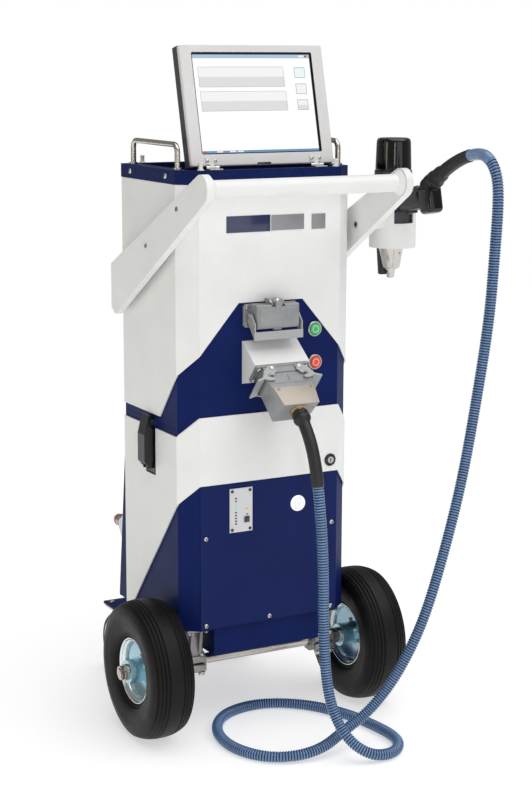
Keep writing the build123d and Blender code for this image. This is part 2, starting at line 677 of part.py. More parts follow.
def handle_arms():
    """Two plate arms, round at the bar and cut square at the rear."""
    eye = (BAR_Y, BAR_Z)
    upper = tangent_point(eye, ARM_R, (ARM_REAR_Y, ARM_REAR_TOP), 1)
    lower = tangent_point(eye, ARM_R, (ARM_HEEL_Y, ARM_HEEL_Z), -1)
    outline = (upper, (ARM_REAR_Y, ARM_REAR_TOP), (ARM_REAR_Y, ARM_REAR_LOW), (ARM_HEEL_Y, ARM_HEEL_Z),
               lower, eye)
    arms = []
    for side in (-1, 1):
        x0, x1 = sorted((side * ARM_X, side * (ARM_X + ARM_T)))
        arm = prism_x(outline, x0, x1) + rod("X", x0, x1, eye, ARM_R)
        arms.append(arm)
    return group(arms)


def push_bar():
    """Tube between the arms with a turned collar at each end."""
    reach = ARM_X - FIT_GAP
    bar = rod("X", -reach, reach, (BAR_Y, BAR_Z), BAR_R)
    flare = BAR_COLLAR_R - BAR_R
    for side in (-1, 1):
        bar += turned_x(((side * reach, 0), (side * reach, BAR_COLLAR_R), (side * (reach - 2.5), BAR_COLLAR_R),
                         (side * (reach - 2.5 - flare), BAR_R), (side * (reach - 2.5 - flare), 0)),
                        0, BAR_Y, BAR_Z)
    return bar - rod("X", -reach - 1, reach + 1, (BAR_Y, BAR_Z), BAR_R - BAR_WALL)


def lift_handle(side):
    """U-shaped round bar on two collars."""
    x = side * LIFT_X
    low = TRAY_TOP + FIT_GAP
    path = FilletPolyline((x, LIFT_Y0, low), (x, LIFT_Y0, LIFT_Z), (x, LIFT_Y1, LIFT_Z), (x, LIFT_Y1, low),
                          radius=LIFT_BEND_R)
    bar = sweep(Plane(path @ 0, z_dir=path % 0) * Circle(LIFT_R), path)
    for y in (LIFT_Y0, LIFT_Y1):
        bar += rod("Z", low, low + 3, (x, y), LIFT_R + 3)
    return bar


def fixings():
    """Arm spacers, arm screws, tray screws and panel screws."""
    pieces = []
    for side in (-1, 1):
        inner, outer = sorted((side * (COVER_HALF + FIT_GAP), side * (ARM_X - FIT_GAP)))
        for place in ARM_FIXINGS:
            pieces.append(rod("X", inner, outer, place, 9))
        face = ARM_X + ARM_T + FIT_GAP
        inner, outer = sorted((side * face, side * (face + 3)))
        for place in ARM_SCREWS:
            pieces.append(rod("X", inner, outer, place, 6.5))
        face = COVER_HALF + FIT_GAP
        inner, outer = sorted((side * face, side * (face + SCREW_H)))
        for place in ((90.0, 1038.0), (-62.0, 1038.0)):
            pieces.append(rod("X", inner, outer, place, SCREW_R))
    face = PANEL_Y - PANEL_T - FIT_GAP
    for place in PANEL_SCREWS:
        pieces.append(rod("Y", face - SCREW_H, face, place, SCREW_R))
    for x in (12 - PLATE_HALF, PLATE_HALF - 12):
        pieces.append(rod("Z", BASE_PLATE_Z + BASE_PLATE_T + FIT_GAP,
                          BASE_PLATE_Z + BASE_PLATE_T + 5, (x, PLATE_REAR - 14), 7))
    return group(pieces)


# ---------------------------------------------------------------- monitor
TILT = radians(MON_TILT)
MONITOR = Plane(origin=(0, MON_Y, MON_Z), x_dir=(1, 0, 0), z_dir=(0, -cos(TILT), sin(TILT)))
PIVOT_Y = MON_Y - HINGE_OFF * cos(TILT) - HINGE_OFF * sin(TILT)
PIVOT_Z = MON_Z + HINGE_OFF * sin(TILT) - HINGE_OFF * cos(TILT)


def monitor_housing():
    """Cast back shell with rounded rear edges and cooling slots."""
    body = block(-MON_W / 2, MON_W / 2, 0, MON_H, -MON_T, -BEZEL_T - FIT_GAP)
    body = chamfer(body.faces().sort_by(Axis.Z)[0].edges(), 6)
    body -= block(MON_WALL - MON_W / 2, MON_W / 2 - MON_WALL, MON_WALL, MON_H - MON_WALL, MON_WALL - MON_T,
                  -BEZEL_T)
    for x in range(-60, 61, 12):
        body -= block(x - 2, x + 2, MON_H * 0.62, MON_H * 0.82, -MON_T - 1, MON_WALL + 1 - MON_T)
    return MONITOR * body


def monitor_bezel():
    """Front frame with the moving knuckles of two hinges on its lower edge."""
    frame = block(-MON_W / 2, MON_W / 2, 0, MON_H, -BEZEL_T, 0)
    frame = fillet(frame.edges().filter_by(Axis.Z), BEZEL_CORNER_R)
    frame = chamfer(frame.faces().sort_by(Axis.Z)[-1].edges(), 1.5)
    window = block(-SCREEN_W / 2, SCREEN_W / 2, SCREEN_LOW, SCREEN_LOW + SCREEN_H, -BEZEL_T - 1, 1)
    frame -= fillet(window.edges().filter_by(Axis.Z), WINDOW_CORNER_R)
    for x in (-HINGE_X, HINGE_X):
        frame += block(x - HINGE_SEG * 1.5, x + HINGE_SEG * 1.5, 2, 15, 0, 1.6)
        frame += block(x - HINGE_SEG / 2, x + HINGE_SEG / 2, -HINGE_OFF, 2, 0.6, 1.6 + HINGE_OFF / 2)
        knuckle = rod("X", x - HINGE_SEG / 2, x + HINGE_SEG / 2, (-HINGE_OFF, HINGE_OFF), HINGE_R)
        frame += knuckle
        frame -= rod("X", x - HINGE_SEG, x + HINGE_SEG, (-HINGE_OFF, HINGE_OFF), HINGE_PIN_R + BORE_PLAY)
    return MONITOR * frame


def touchscreen():
    glass = block(-SCREEN_W / 2 + FIT_GAP, SCREEN_W / 2 - FIT_GAP, SCREEN_LOW + FIT_GAP,
                  SCREEN_LOW + SCREEN_H - FIT_GAP, -BEZEL_T, -2)
    return MONITOR * fillet(glass.edges().filter_by(Axis.Z), WINDOW_CORNER_R)


def hinge_leaves():
    """Fixed leaves on the tray rim: outer knuckles, and the pin through each hinge."""
    leaves = []
    low = PIVOT_Z - HINGE_R
    for x in (-HINGE_X, HINGE_X):
        leaf = block(x - HINGE_SEG * 1.6, x + HINGE_SEG * 1.6, FRONT + 5, PIVOT_Y - HINGE_R - 0.6,
                     TRAY_TOP + FIT_GAP, low + 1.6)
        for side in (-1, 1):
            x0, x1 = sorted((x + side * (HINGE_SEG / 2 + FIT_GAP), x + side * HINGE_SEG * 1.6))
            leaf += rod("X", x0, x1, (PIVOT_Y, PIVOT_Z), HINGE_R)
            leaf += block(x0, x1, PIVOT_Y - HINGE_R - 0.7, PIVOT_Y, TRAY_TOP + FIT_GAP, low + 1.6)
        leaf += rod("X", x - HINGE_SEG * 1.6, x + HINGE_SEG * 1.6, (PIVOT_Y, PIVOT_Z), HINGE_PIN_R)
        leaves.append(leaf)
    return group(leaves)


# ---------------------------------------------------------------- holster and probe
def holster_tube():
    """Stub arm from the right handle arm to the cup."""
    end = HOLSTER_X - (CUP_R ** 2 - (TUBE_Y - HOLSTER_Y) ** 2) ** 0.5
    tube = rod("X", ARM_X + ARM_T + FIT_GAP, end + 8, (TUBE_Y, TUBE_Z), TUBE_R)
    return tube - rod("Z", CUP_Z0 - 1, CUP_Z1 + 1, (HOLSTER_X, HOLSTER_Y), CUP_R + FIT_GAP)


def holster_cup():
    """Round cup, open at the top, with a slot in front for the grip and a hole for the nozzle."""
    cup = rod("Z", CUP_Z0, CUP_Z1, (HOLSTER_X, HOLSTER_Y), CUP_R)
    cup -= rod("Z", CUP_Z0 + CUP_WALL, CUP_Z1 + 1, (HOLSTER_X, HOLSTER_Y), CUP_R - CUP_WALL)
    cup -= rod("Z", CUP_Z0 - 1, CUP_Z1, (HOLSTER_X, HOLSTER_Y), CUP_HOLE_R)
    return cup - block(HOLSTER_X - CUP_SLOT_HALF, HOLSTER_X + CUP_SLOT_HALF, HOLSTER_Y - CUP_R - 5,
                       HOLSTER_Y, CUP_SLOT_Z, CUP_Z1 + 1)


SEAT_Z = CUP_Z0 + CUP_WALL + FIT_GAP
GRIP_ANGLE = radians(GRIP_TILT)
GRIP = Plane(origin=(HOLSTER_X, HOLSTER_Y - HEAD_R, GRIP_Z), x_dir=(1, 0, 0),
             z_dir=(0, -cos(GRIP_ANGLE), sin(GRIP_ANGLE)))


def probe_housing():
    """Dark head of the pistol probe: a turned body that seats in the cup, with the grip's root."""
    head = turned_z(((0, SEAT_Z), (HEAD_R - 4, SEAT_Z), (HEAD_R, SEAT_Z + 4), (HEAD_R, CUP_Z1 + 3),
                     (CAP_BASE_R + 1.5, CUP_Z1 + 8), (CAP_BASE_R + 1.5, HEAD_TOP), (0, HEAD_TOP)),
                    HOLSTER_X, HOLSTER_Y)
    return head + GRIP * block(-GRIP_W / 2, GRIP_W / 2, -GRIP_H / 2, GRIP_H / 2, -12, 4)


def motor_cap():
    """Glossy cap over the electrode drive, slightly tapered."""
    low = HEAD_TOP + FIT_GAP
    cap = turned_z(((0, low), (CAP_BASE_R, low), (CAP_TOP_R, CAP_TOP_Z), (0, CAP_TOP_Z)), HOLSTER_X, HOLSTER_Y)
    return fillet(cap.edges().sort_by(Axis.Z)[-1], CAP_EDGE_R)


def probe_grip():
    """Grip with the hose block on its end; a slot underneath guides the trigger."""
    body = block(-GRIP_W / 2, GRIP_W / 2, -GRIP_H / 2, GRIP_H / 2, 4 + FIT_GAP, GRIP_LEN)
    body = fillet(body.edges().filter_by(Axis.Z), 8)
    knob = block(-GRIP_W / 2 + 1, GRIP_W / 2 - 1, -GRIP_H / 2 - 10, GRIP_H / 2 - 3, GRIP_LEN,
                 GRIP_LEN + BLOCK_L - 22)
    knob = fillet(knob.edges().filter_by(Axis.X), 7)
    body += knob
    body -= block(-TRIGGER_W / 2 - FIT_GAP, TRIGGER_W / 2 + FIT_GAP, -GRIP_H / 2 - 1,
                  -GRIP_H / 2 + TRIGGER_DEEP + TRIGGER_TRAVEL + FIT_GAP, TRIGGER_A - FIT_GAP, TRIGGER_B + FIT_GAP)
    return GRIP * body


def trigger():
    """Start trigger under the grip; it slides into the grip."""
    return GRIP * block(-TRIGGER_W / 2, TRIGGER_W / 2, -GRIP_H / 2 - TRIGGER_TRAVEL - 1,
                        -GRIP_H / 2 + TRIGGER_DEEP, TRIGGER_A, TRIGGER_B)


def spark_nozzle():
    """Metal cone and tip below the cup with the wedge-shaped optical adapter beside them."""
    cone = turned_z(((0, SEAT_Z - FIT_GAP), (NOZZLE_R0, SEAT_Z - FIT_GAP), (NOZZLE_R0, CUP_Z0),
                     (NOZZLE_R1, NOZZLE_Z1), (TIP_R0, NOZZLE_Z1), (TIP_R1, TIP_Z), (0, TIP_Z)),
                    HOLSTER_X, HOLSTER_Y)
    wedge = prism_y(((HOLSTER_X - 28, SEAT_Z - FIT_GAP), (HOLSTER_X - 10, SEAT_Z - FIT_GAP),
                     (HOLSTER_X - 7, TIP_Z + 7), (HOLSTER_X - 17, TIP_Z + 7), (HOLSTER_X - 28, CUP_Z0 - 2)),
                    HOLSTER_Y - 7, HOLSTER_Y + 7)
    return cone + wedge


def circle_sweep(points, radii, radius):
    """Round bar along straight runs joined by tangent arcs."""
    path = FilletPolyline(*points, radius=radii)
    return sweep(Plane(path @ 0, z_dir=path % 0) * Circle(radius), path)


def corner_radii(points):
    """Arc radius at each inner point: 0.45 of the shorter run over the tangent of half the turn."""
    radii = []
    for before, here, after in zip(points, points[1:], points[2:]):
        run_in, run_out = Vector(*here) - Vector(*before), Vector(*after) - Vector(*here)
        half_turn = radians(run_in.get_angle(run_out)) / 2
        radii.append(0.45 * min(run_in.length, run_out.length) / tan(half_turn))
    return radii


def probe_sleeve():
    """Ribbed boot and bend sleeve from the hose block to the hose."""
    start = GRIP.from_local_coords(Vector(0, GRIP_H / 2 - 3, GRIP_LEN + (BLOCK_L - 22) / 2))
    end = Vector(*HOSE_ROUTE[-1])
    tangent = (Vector(*HOSE_ROUTE[-2]) - end).normalized()
    back = end - tangent * 34
    rise = start + Vector(0, -14, 22)
    path = [tuple(start), tuple(rise), tuple(back), tuple(end)]
    sleeve = circle_sweep(path, corner_radii(path), PLUG_SLEEVE_R)
    boot = Plane(start, z_dir=rise - start) * (Pos(0, 0, 9) * Cylinder(17, 22))
    return (sleeve + boot) - probe_grip() - probe_housing()


# ---------------------------------------------------------------- sockets, plug and levers
def socket_body(height):
    """Bulkhead housing in its own plane: flange, collar and four flange screws."""
    body = block(-FLANGE_L / 2, FLANGE_L / 2, -SOCKET_W / 2, SOCKET_W / 2, 0, FLANGE_T)
    body = chamfer(body.edges().filter_by(Axis.Z), 4)
    body += block(-SOCKET_L / 2, SOCKET_L / 2, -SOCKET_W / 2 + 1, SOCKET_W / 2 - 1, FLANGE_T, height)
    for x in (-1, 1):
        for y in (-1, 1):
            body += Pos(x * (FLANGE_L / 2 - 7), y * (SOCKET_W / 2 - 6.5), FLANGE_T + 1.2) * Cylinder(4, 2.4)
    return body


SPARE = Plane(origin=(SOCKET_X, CHASSIS_FRONT - FIT_GAP, SPARE_Z), x_dir=(1, 0, 0), z_dir=(0, -1, 0))
FLAP_PIVOT = (SOCKET_W / 2 + 5.0, SPARE_DEPTH + 3.0)   # up and out, in the socket's plane
LOCK_PIVOT = (-2.0, SPARE_DEPTH - 8.0)
PIVOT_R = 2.5
LOCK_X = SOCKET_L / 2 + 6.0


def spare_socket():
    """Unused socket, hollow to its contact insert, with the flap hinge and the lever's pivot studs."""
    body = socket_body(SPARE_DEPTH)
    body -= block(-SOCKET_L / 2 + 4, SOCKET_L / 2 - 4, -SOCKET_W / 2 + 5, SOCKET_W / 2 - 5, FLANGE_T,
                  SPARE_DEPTH + 1)
    body += block(-32, 32, -11, 11, FLANGE_T, FLANGE_T + 12)
    for x in (-1, 1):
        x0, x1 = sorted((x * 8.3, x * 11.8))
        body += block(x0, x1, SOCKET_W / 2 - 2, FLAP_PIVOT[0] + 4, FLANGE_T, FLAP_PIVOT[1] + 3.5)
        x0, x1 = sorted((x * SOCKET_L / 2, x * (LOCK_X + LEVER_T + 1)))
        body += rod("X", x0, x1, LOCK_PIVOT, PIVOT_R)
    body += rod("X", -11.8, 11.8, FLAP_PIVOT, PIVOT_R)
    return SPARE * body


def socket_flap():
    """Hinged lid of the spare socket with its middle hinge eye."""
    low = SPARE_DEPTH + FIT_GAP
    lid = block(-SOCKET_L / 2 - 1.5, SOCKET_L / 2 + 1.5, -SOCKET_W / 2, SOCKET_W / 2, low, low + FLAP_T)
    lid = chamfer(lid.faces().sort_by(Axis.Z)[-1].edges(), 2)
    crown = block(-SOCKET_L / 2 + 2, SOCKET_L / 2 - 2, -SOCKET_W / 2 + 2.5, SOCKET_W / 2 - 6, low + FLAP_T,
                  low + FLAP_T + CROWN_H)
    crown = fillet(crown.edges().filter_by(Axis.Z), 5)
    lid += chamfer(crown.faces().sort_by(Axis.Z)[-1].edges(), 1)
    lid -= block(-14, 14, SOCKET_W / 2 - 3.5, SOCKET_W / 2 + 1, low - 1, low + FLAP_T + 1)
    lid += block(-8, 8, SOCKET_W / 2 - 4, FLAP_PIVOT[0], low, low + 5.5)
    lid += rod("X", -8, 8, FLAP_PIVOT, 5)
    lid -= rod("X", -9, 9, FLAP_PIVOT, PIVOT_R + BORE_PLAY)
    lid += block(-8, 8, -SOCKET_W / 2 - 3, -SOCKET_W / 2, low + 2, low + 9)
    return SPARE * lid


def flap_lever():
    """Locking lever: a side arm at each end of the socket and a bar under the flap."""
    bar_low, bar_high = -SOCKET_W / 2 - 20, -SOCKET_W / 2 - 4.5
    out = SPARE_DEPTH + FLAP_T
    lever = block(-LOCK_X - LEVER_T, LOCK_X + LEVER_T, bar_low, bar_high, out - LEVER_T + 2, out + 2)
    for x in (-1, 1):
        x0, x1 = sorted((x * (LOCK_X - 1), x * (LOCK_X + LEVER_T - 1)))
        arm = prism_x(((LOCK_PIVOT[0] + 7, LOCK_PIVOT[1] - 6), (LOCK_PIVOT[0] + 7, LOCK_PIVOT[1] + 7),
                       (-12, out + 2), (bar_low, out + 2), (bar_low + 8, out - 6),
                       (LOCK_PIVOT[0] - 8, LOCK_PIVOT[1] - 7)), x0, x1)
        lever += arm
    lever -= rod("X", -80, 80, LOCK_PIVOT, PIVOT_R + BORE_PLAY)
    return SPARE * lever


def wedge_box():
    """White sheet box that turns the probe socket to face forwards and down."""
    back = CHASSIS_FRONT - FIT_GAP
    outline = ((back, WEDGE_TOP_Z), (WEDGE_LIP_Y, WEDGE_LIP_Z), (WEDGE_LOW_Y, WEDGE_LOW_Z),
               (back, WEDGE_FOOT_Z))
    return prism_x(outline, SOCKET_X - WEDGE_HALF, SOCKET_X + WEDGE_HALF)


FACE_Y, FACE_Z = WEDGE_LOW_Y - WEDGE_LIP_Y, WEDGE_LOW_Z - WEDGE_LIP_Z
FACE_L = (FACE_Y ** 2 + FACE_Z ** 2) ** 0.5
OUT_Y, OUT_Z = FACE_Z / FACE_L, -FACE_Y / FACE_L      # unit normal of the wedge's sloping face
PROBE_FACE = Plane(origin=(SOCKET_X, (WEDGE_LIP_Y + WEDGE_LOW_Y) / 2 + FIT_GAP * OUT_Y,
                           (WEDGE_LIP_Z + WEDGE_LOW_Z) / 2 + FIT_GAP * OUT_Z),
                   x_dir=(1, 0, 0), z_dir=(0, OUT_Y, OUT_Z))
LEVER_PIVOT_X = SOCKET_L / 2 - 14.0
LEVER_PIVOT_Z = 11.0
LEVER_FACE = SOCKET_W / 2 + 0.8       # inner face of each lever cheek
PEG_X = SOCKET_L / 2 - 4.0
PEG_Z = PROBE_SOCKET_H + 9.0


def probe_socket():
    """Socket that the probe's plug is locked to, with the pivot studs of its two levers."""
    body = socket_body(PROBE_SOCKET_H)
    for x in (-LEVER_PIVOT_X, LEVER_PIVOT_X):
        body += rod("Y", -LEVER_FACE - LEVER_T - 1, LEVER_FACE + LEVER_T + 1, (x, LEVER_PIVOT_Z), PIVOT_R)
    return PROBE_FACE * body


def plug_hood():
    """Cast plug hood: straight collar, deeper cable chamber, cover plate, locking pegs and gland."""
    low = PROBE_SOCKET_H + FIT_GAP
    high = low + HOOD_H
    side = SOCKET_W / 2 - 1
    hood = prism_x(((-side, low), (side, low), (side, low + 24), (side + 2, low + 28), (side + 2, high),
                    (-side - 14, high), (-side - 14, low + 40), (-side, low + 22)), -HOOD_L / 2, HOOD_L / 2)
    hood = chamfer(hood.edges().filter_by(Axis.Z).sort_by(Axis.Z)[-4:], 3)
    hood -= prism_y(((HOOD_L / 2 - 10, high + 1), (HOOD_L / 2 + 1, high + 1), (HOOD_L / 2 + 1, low + 26)),
                    -60, 60)
    hood -= prism_y(((10 - HOOD_L / 2, high + 1), (-HOOD_L / 2 - 1, high + 1), (-HOOD_L / 2 - 1, low + 26)),
                    -60, 60)
    hood += block(-34, 34, side + 2, side + 3.6, low + 30, high - 4)
    for x in (-PEG_X, PEG_X):
        hood += rod("Y", -LEVER_FACE - LEVER_T - 1, LEVER_FACE + LEVER_T + 1, (x, PEG_Z), PIVOT_R)
    hood += Pos(0, 3, high + 4) * Cylinder(15, 8)
    return PROBE_FACE * hood


GLAND = PROBE_FACE.from_local_coords(Vector(0, 3, PROBE_SOCKET_H + FIT_GAP + HOOD_H + 8))


def plug_boot():
    """Rubber boot and bend sleeve between the plug's gland and the hose."""
    start = GLAND + Vector(0, OUT_Y, OUT_Z) * FIT_GAP
    end = Vector(*HOSE_ROUTE[0])
    tangent = (Vector(*HOSE_ROUTE[1]) - end).normalized()
    knee = start + Vector(0, OUT_Y, OUT_Z) * 40
    back = end - tangent * 40
    path = [tuple(start), tuple(knee), tuple(back), tuple(end)]
    sleeve = circle_sweep(path, corner_radii(path), PLUG_SLEEVE_R)
    ball = Plane(start, z_dir=(0, OUT_Y, OUT_Z)) * (Pos(0, 0, 11) * Cylinder(18, 22))
    return sleeve + ball


def plug_lever(side):
    """End lever: two hooked cheeks on the socket's studs, joined by a pull tab past the plug's end."""
    pivot = (side * LEVER_PIVOT_X, LEVER_PIVOT_Z)
    tab_in, tab_out = HOOD_L / 2 + 1.5, HOOD_L / 2 + 20
    cheek_xz = ((pivot[0] - side * 6, pivot[1] - 4), (pivot[0] + side * 5, pivot[1] - 6),
                (side * tab_in, PROBE_SOCKET_H), (side * (tab_in + 3), PROBE_SOCKET_H + 16),
                (side * (PEG_X + 2), PEG_Z + 11), (side * (PEG_X - 7), PEG_Z + 11),
                (side * (PEG_X - 9), PEG_Z + 5), (side * (PEG_X - 10), PEG_Z - 1),
                (pivot[0] - side * 7, pivot[1] + 6))
    lever = None
    for y in (-1, 1):
        y0, y1 = sorted((y * LEVER_FACE, y * (LEVER_FACE + LEVER_T)))
        cheek = prism_y(cheek_xz, y0, y1)
        lever = cheek if lever is None else lever + cheek
    foot = PROBE_SOCKET_H + 5.5
    lever += prism_y(((side * (tab_in + 0.5), foot), (side * (tab_in + 3), PROBE_SOCKET_H + 16),
                      (side * tab_out, PROBE_SOCKET_H + 20), (side * tab_out, PROBE_SOCKET_H + 17),
                      (side * (tab_in + 5), PROBE_SOCKET_H + 12), (side * (tab_in + 3), foot)),
                     -LEVER_FACE - LEVER_T, LEVER_FACE + LEVER_T)
    lever -= rod("Y", -60, 60, pivot, PIVOT_R + BORE_PLAY)
    reach = ((PEG_X - LEVER_PIVOT_X) ** 2 + (PEG_Z - LEVER_PIVOT_Z) ** 2) ** 0.5
    play = PIVOT_R + 0.4
    slot = rod("Y", -60, 60, pivot, reach + play) - rod("Y", -61, 61, pivot, reach - play)
    far = 2 * reach
    slot &= prism_y((pivot, (side * PEG_X, PEG_Z), (side * (PEG_X - far / 4), PEG_Z + far),
                     (pivot[0] - side * far, pivot[1] + far)), -60, 60)
    slot += rod("Y", -60, 60, (side * PEG_X, PEG_Z), play)
    lever -= slot
    return PROBE_FACE * lever


# ---------------------------------------------------------------- controls
def ring_y(face, place, outer, inner, height):
    """Ring standing forwards of a wall face."""
    ring = rod("Y", face - height, face, place, outer)
    return ring - rod("Y", face - height - 1, face + 1, place, inner)


WALL_FACE = CHASSIS_FRONT - FIT_GAP                 # seats of the start and stop buttons
PANEL_FACE = PANEL_Y - PANEL_T - FIT_GAP            # seat of the power button and charge plate
COVER_FACE = FRONT - FIT_GAP                        # seat of the key lock


def control_rings():
    """Bezels of the three push buttons and the body of the key lock."""
    rings = [ring_y(WALL_FACE, START_POS, BEZEL_R, BARREL_R, BEZEL_H),
             ring_y(WALL_FACE, STOP_POS, BEZEL_R, BARREL_R, BEZEL_H),
             ring_y(PANEL_FACE, POWER_POS, BEZEL_R, BARREL_R, BEZEL_H)]
    lock = rod("Y", COVER_FACE - 2.5, COVER_FACE, (KEY_X, KEY_Z), KEY_R + 2)
    lock += rod("Y", COVER_FACE - 1, CHASSIS_FRONT + 14, (KEY_X, KEY_Z), KEY_R)
    lock -= rod("Y", COVER_FACE - 5, CHASSIS_FRONT + 15, (KEY_X, KEY_Z), KEY_CORE_R + BORE_PLAY)
    return group(rings + [lock])


def key_barrel():
    core = rod("Y", COVER_FACE - 3, CHASSIS_FRONT + 16, (KEY_X, KEY_Z), KEY_CORE_R)
    core -= block(KEY_X - 0.8, KEY_X + 0.8, COVER_FACE - 4, COVER_FACE + 4, KEY_Z - 4, KEY_Z + 4)
    return core + block(KEY_X - 6, KEY_X + 6, CHASSIS_FRONT + 16, CHASSIS_FRONT + 18, KEY_Z - 22, KEY_Z + 6)


def push_button(face, place):
    """Domed button with its stem through the wall."""
    front = face - BEZEL_H - BUTTON_PROUD + 2
    cap = rod("Y", front, face + 8, place, BUTTON_R)
    return chamfer(cap.faces().sort_by(Axis.Y)[0].edges(), 1.5)


def charge_plate():
    plate = block(CHARGE_X0, CHARGE_X1, PANEL_FACE - CHARGE_T, PANEL_FACE, CHARGE_Z0, CHARGE_Z1)
    half = CHARGE_BUTTON_SIDE / 2 + FIT_GAP
    x, z = CHARGE_BUTTON
    plate -= block(x - half, x + half, PANEL_FACE - 5, PANEL_FACE + 1, z - half, z + half)
    for sx in (CHARGE_X0 + 5, CHARGE_X1 - 5):
        for sz in (CHARGE_Z0 + 5, CHARGE_Z1 - 5):
            plate += rod("Y", PANEL_FACE - CHARGE_T - 1.2, PANEL_FACE - CHARGE_T, (sx, sz), 2.6)
    return plate


def charge_button():
    half = CHARGE_BUTTON_SIDE / 2
    x, z = CHARGE_BUTTON
    return block(x - half, x + half, PANEL_FACE - CHARGE_T - 2, PANEL_FACE - 0.6, z - half, z + half)


# ---------------------------------------------------------------- side latches and gas inlet
LATCH_FACE = CHASSIS_HALF + FIT_GAP
LATCH_PIVOT_X = LATCH_FACE + 9.0


def latch_bases():
    """On each side a base bracket with its pivot pin, and the keeper on the upper chassis."""
    pieces = []
    half = LATCH_W / 2
    for side in (-1, 1):
        x0, x1 = sorted((side * LATCH_FACE, side * (LATCH_FACE + 2)))
        piece = block(x0, x1, LATCH_Y - half - 3, LATCH_Y + half + 3, BAND_LOW_Z + 3, BAND_LOW_Z + 62)
        for y in (-1, 1):
            y0, y1 = sorted((LATCH_Y + y * (half - 6.0), LATCH_Y + y * (half - 9.0)))
            x2, x3 = sorted((side * (LATCH_FACE + 1), side * (LATCH_PIVOT_X + 5)))
            piece += block(x2, x3, y0, y1, LATCH_PIVOT_Z - 8, LATCH_PIVOT_Z + 8)
        piece += rod("Y", LATCH_Y - half + 0.5, LATCH_Y + half - 0.5, (side * LATCH_PIVOT_X, LATCH_PIVOT_Z),
                     LATCH_PIVOT_R)
        keep0, keep1 = sorted((side * LATCH_FACE, side * (LATCH_FACE + 8)))
        keeper = block(keep0, keep1, LATCH_Y - half + 8, LATCH_Y + half - 8, SEAM_Z + 1, SEAM_Z + 9)
        pieces += [piece, keeper]
    return group(pieces)


def latch_lever(side):
    """Draw-latch handle: side cheeks and a bent cover plate, pivoted near its foot."""
    half = LATCH_W / 2
    out = LATCH_FACE + 22
    outline = ((side * (LATCH_PIVOT_X - 5.5), LATCH_PIVOT_Z), (side * (LATCH_PIVOT_X - 2), LATCH_PIVOT_Z - 6),
               (side * (LATCH_PIVOT_X + 3), LATCH_PIVOT_Z - 6), (side * out, LATCH_PIVOT_Z + 6),
               (side * out, LATCH_PIVOT_Z + 58),
               (side * (out - 9), LATCH_TOP), (side * (LATCH_FACE + 9), LATCH_TOP),
               (side * (LATCH_FACE + 9), SEAM_Z - 12), (side * (LATCH_PIVOT_X - 5.5), SEAM_Z - 16))
    lever = prism_y(outline, LATCH_Y - half, LATCH_Y + half)
    x0, x1 = sorted((side * (LATCH_FACE - 1), side * (out - 3)))
    hollow = ((side * (LATCH_FACE - 1), LATCH_PIVOT_Z - 20), (side * (out - 3), LATCH_PIVOT_Z - 20),
              (side * (out - 3), LATCH_PIVOT_Z + 56), (side * (out - 10), LATCH_TOP - 8),
              (side * (LATCH_FACE - 1), LATCH_TOP - 8))
    lever -= prism_y(hollow, LATCH_Y - half + 3, LATCH_Y + half - 3)
    return lever - rod("Y", LATCH_Y - half - 1, LATCH_Y + half + 1, (side * LATCH_PIVOT_X, LATCH_PIVOT_Z),
                       LATCH_PIVOT_R + BORE_PLAY)


def gas_coupling():
    """Angled bracket on the rear cover with the quick coupling for argon."""
    face = rear_cover_y(GAS_Z) + GAS_BRACKET_OUT
    bracket = prism_x(((rear_cover_y(GAS_Z + 26) + FIT_GAP, GAS_Z + 26), (face, GAS_Z + 4),
                       (face, GAS_Z - 6), (rear_cover_y(GAS_Z - 34) + FIT_GAP, GAS_Z - 34)),
                      GAS_X - 12, GAS_X + 12)
    coupling = rod("Y", face, face + GAS_COUPLING_L, (GAS_X, GAS_Z), 9)
    coupling += rod("Y", face + 8, face + GAS_COUPLING_L - 4, (GAS_X, GAS_Z), 11)
    piece = bracket + coupling
    mouth = face + GAS_COUPLING_L
    return piece - rod("Y", mouth - GAS_BORE_L, mouth + 1, (GAS_X, GAS_Z), GAS_BORE_R)


# ---------------------------------------------------------------- hose
def hose():
    radii = corner_radii(HOSE_ROUTE)
    print("hose arc radii", [round(r) for r in radii])
    path = FilletPolyline(*HOSE_ROUTE, radius=radii)
    tube = sweep(Plane(path @ 0, z_dir=path % 0) * Circle(HOSE_R), path)
    print(f"hose length {path.length:.0f} mm, volume ratio {tube.volume / (pi * HOSE_R ** 2 * path.length):.4f}")
    return tube


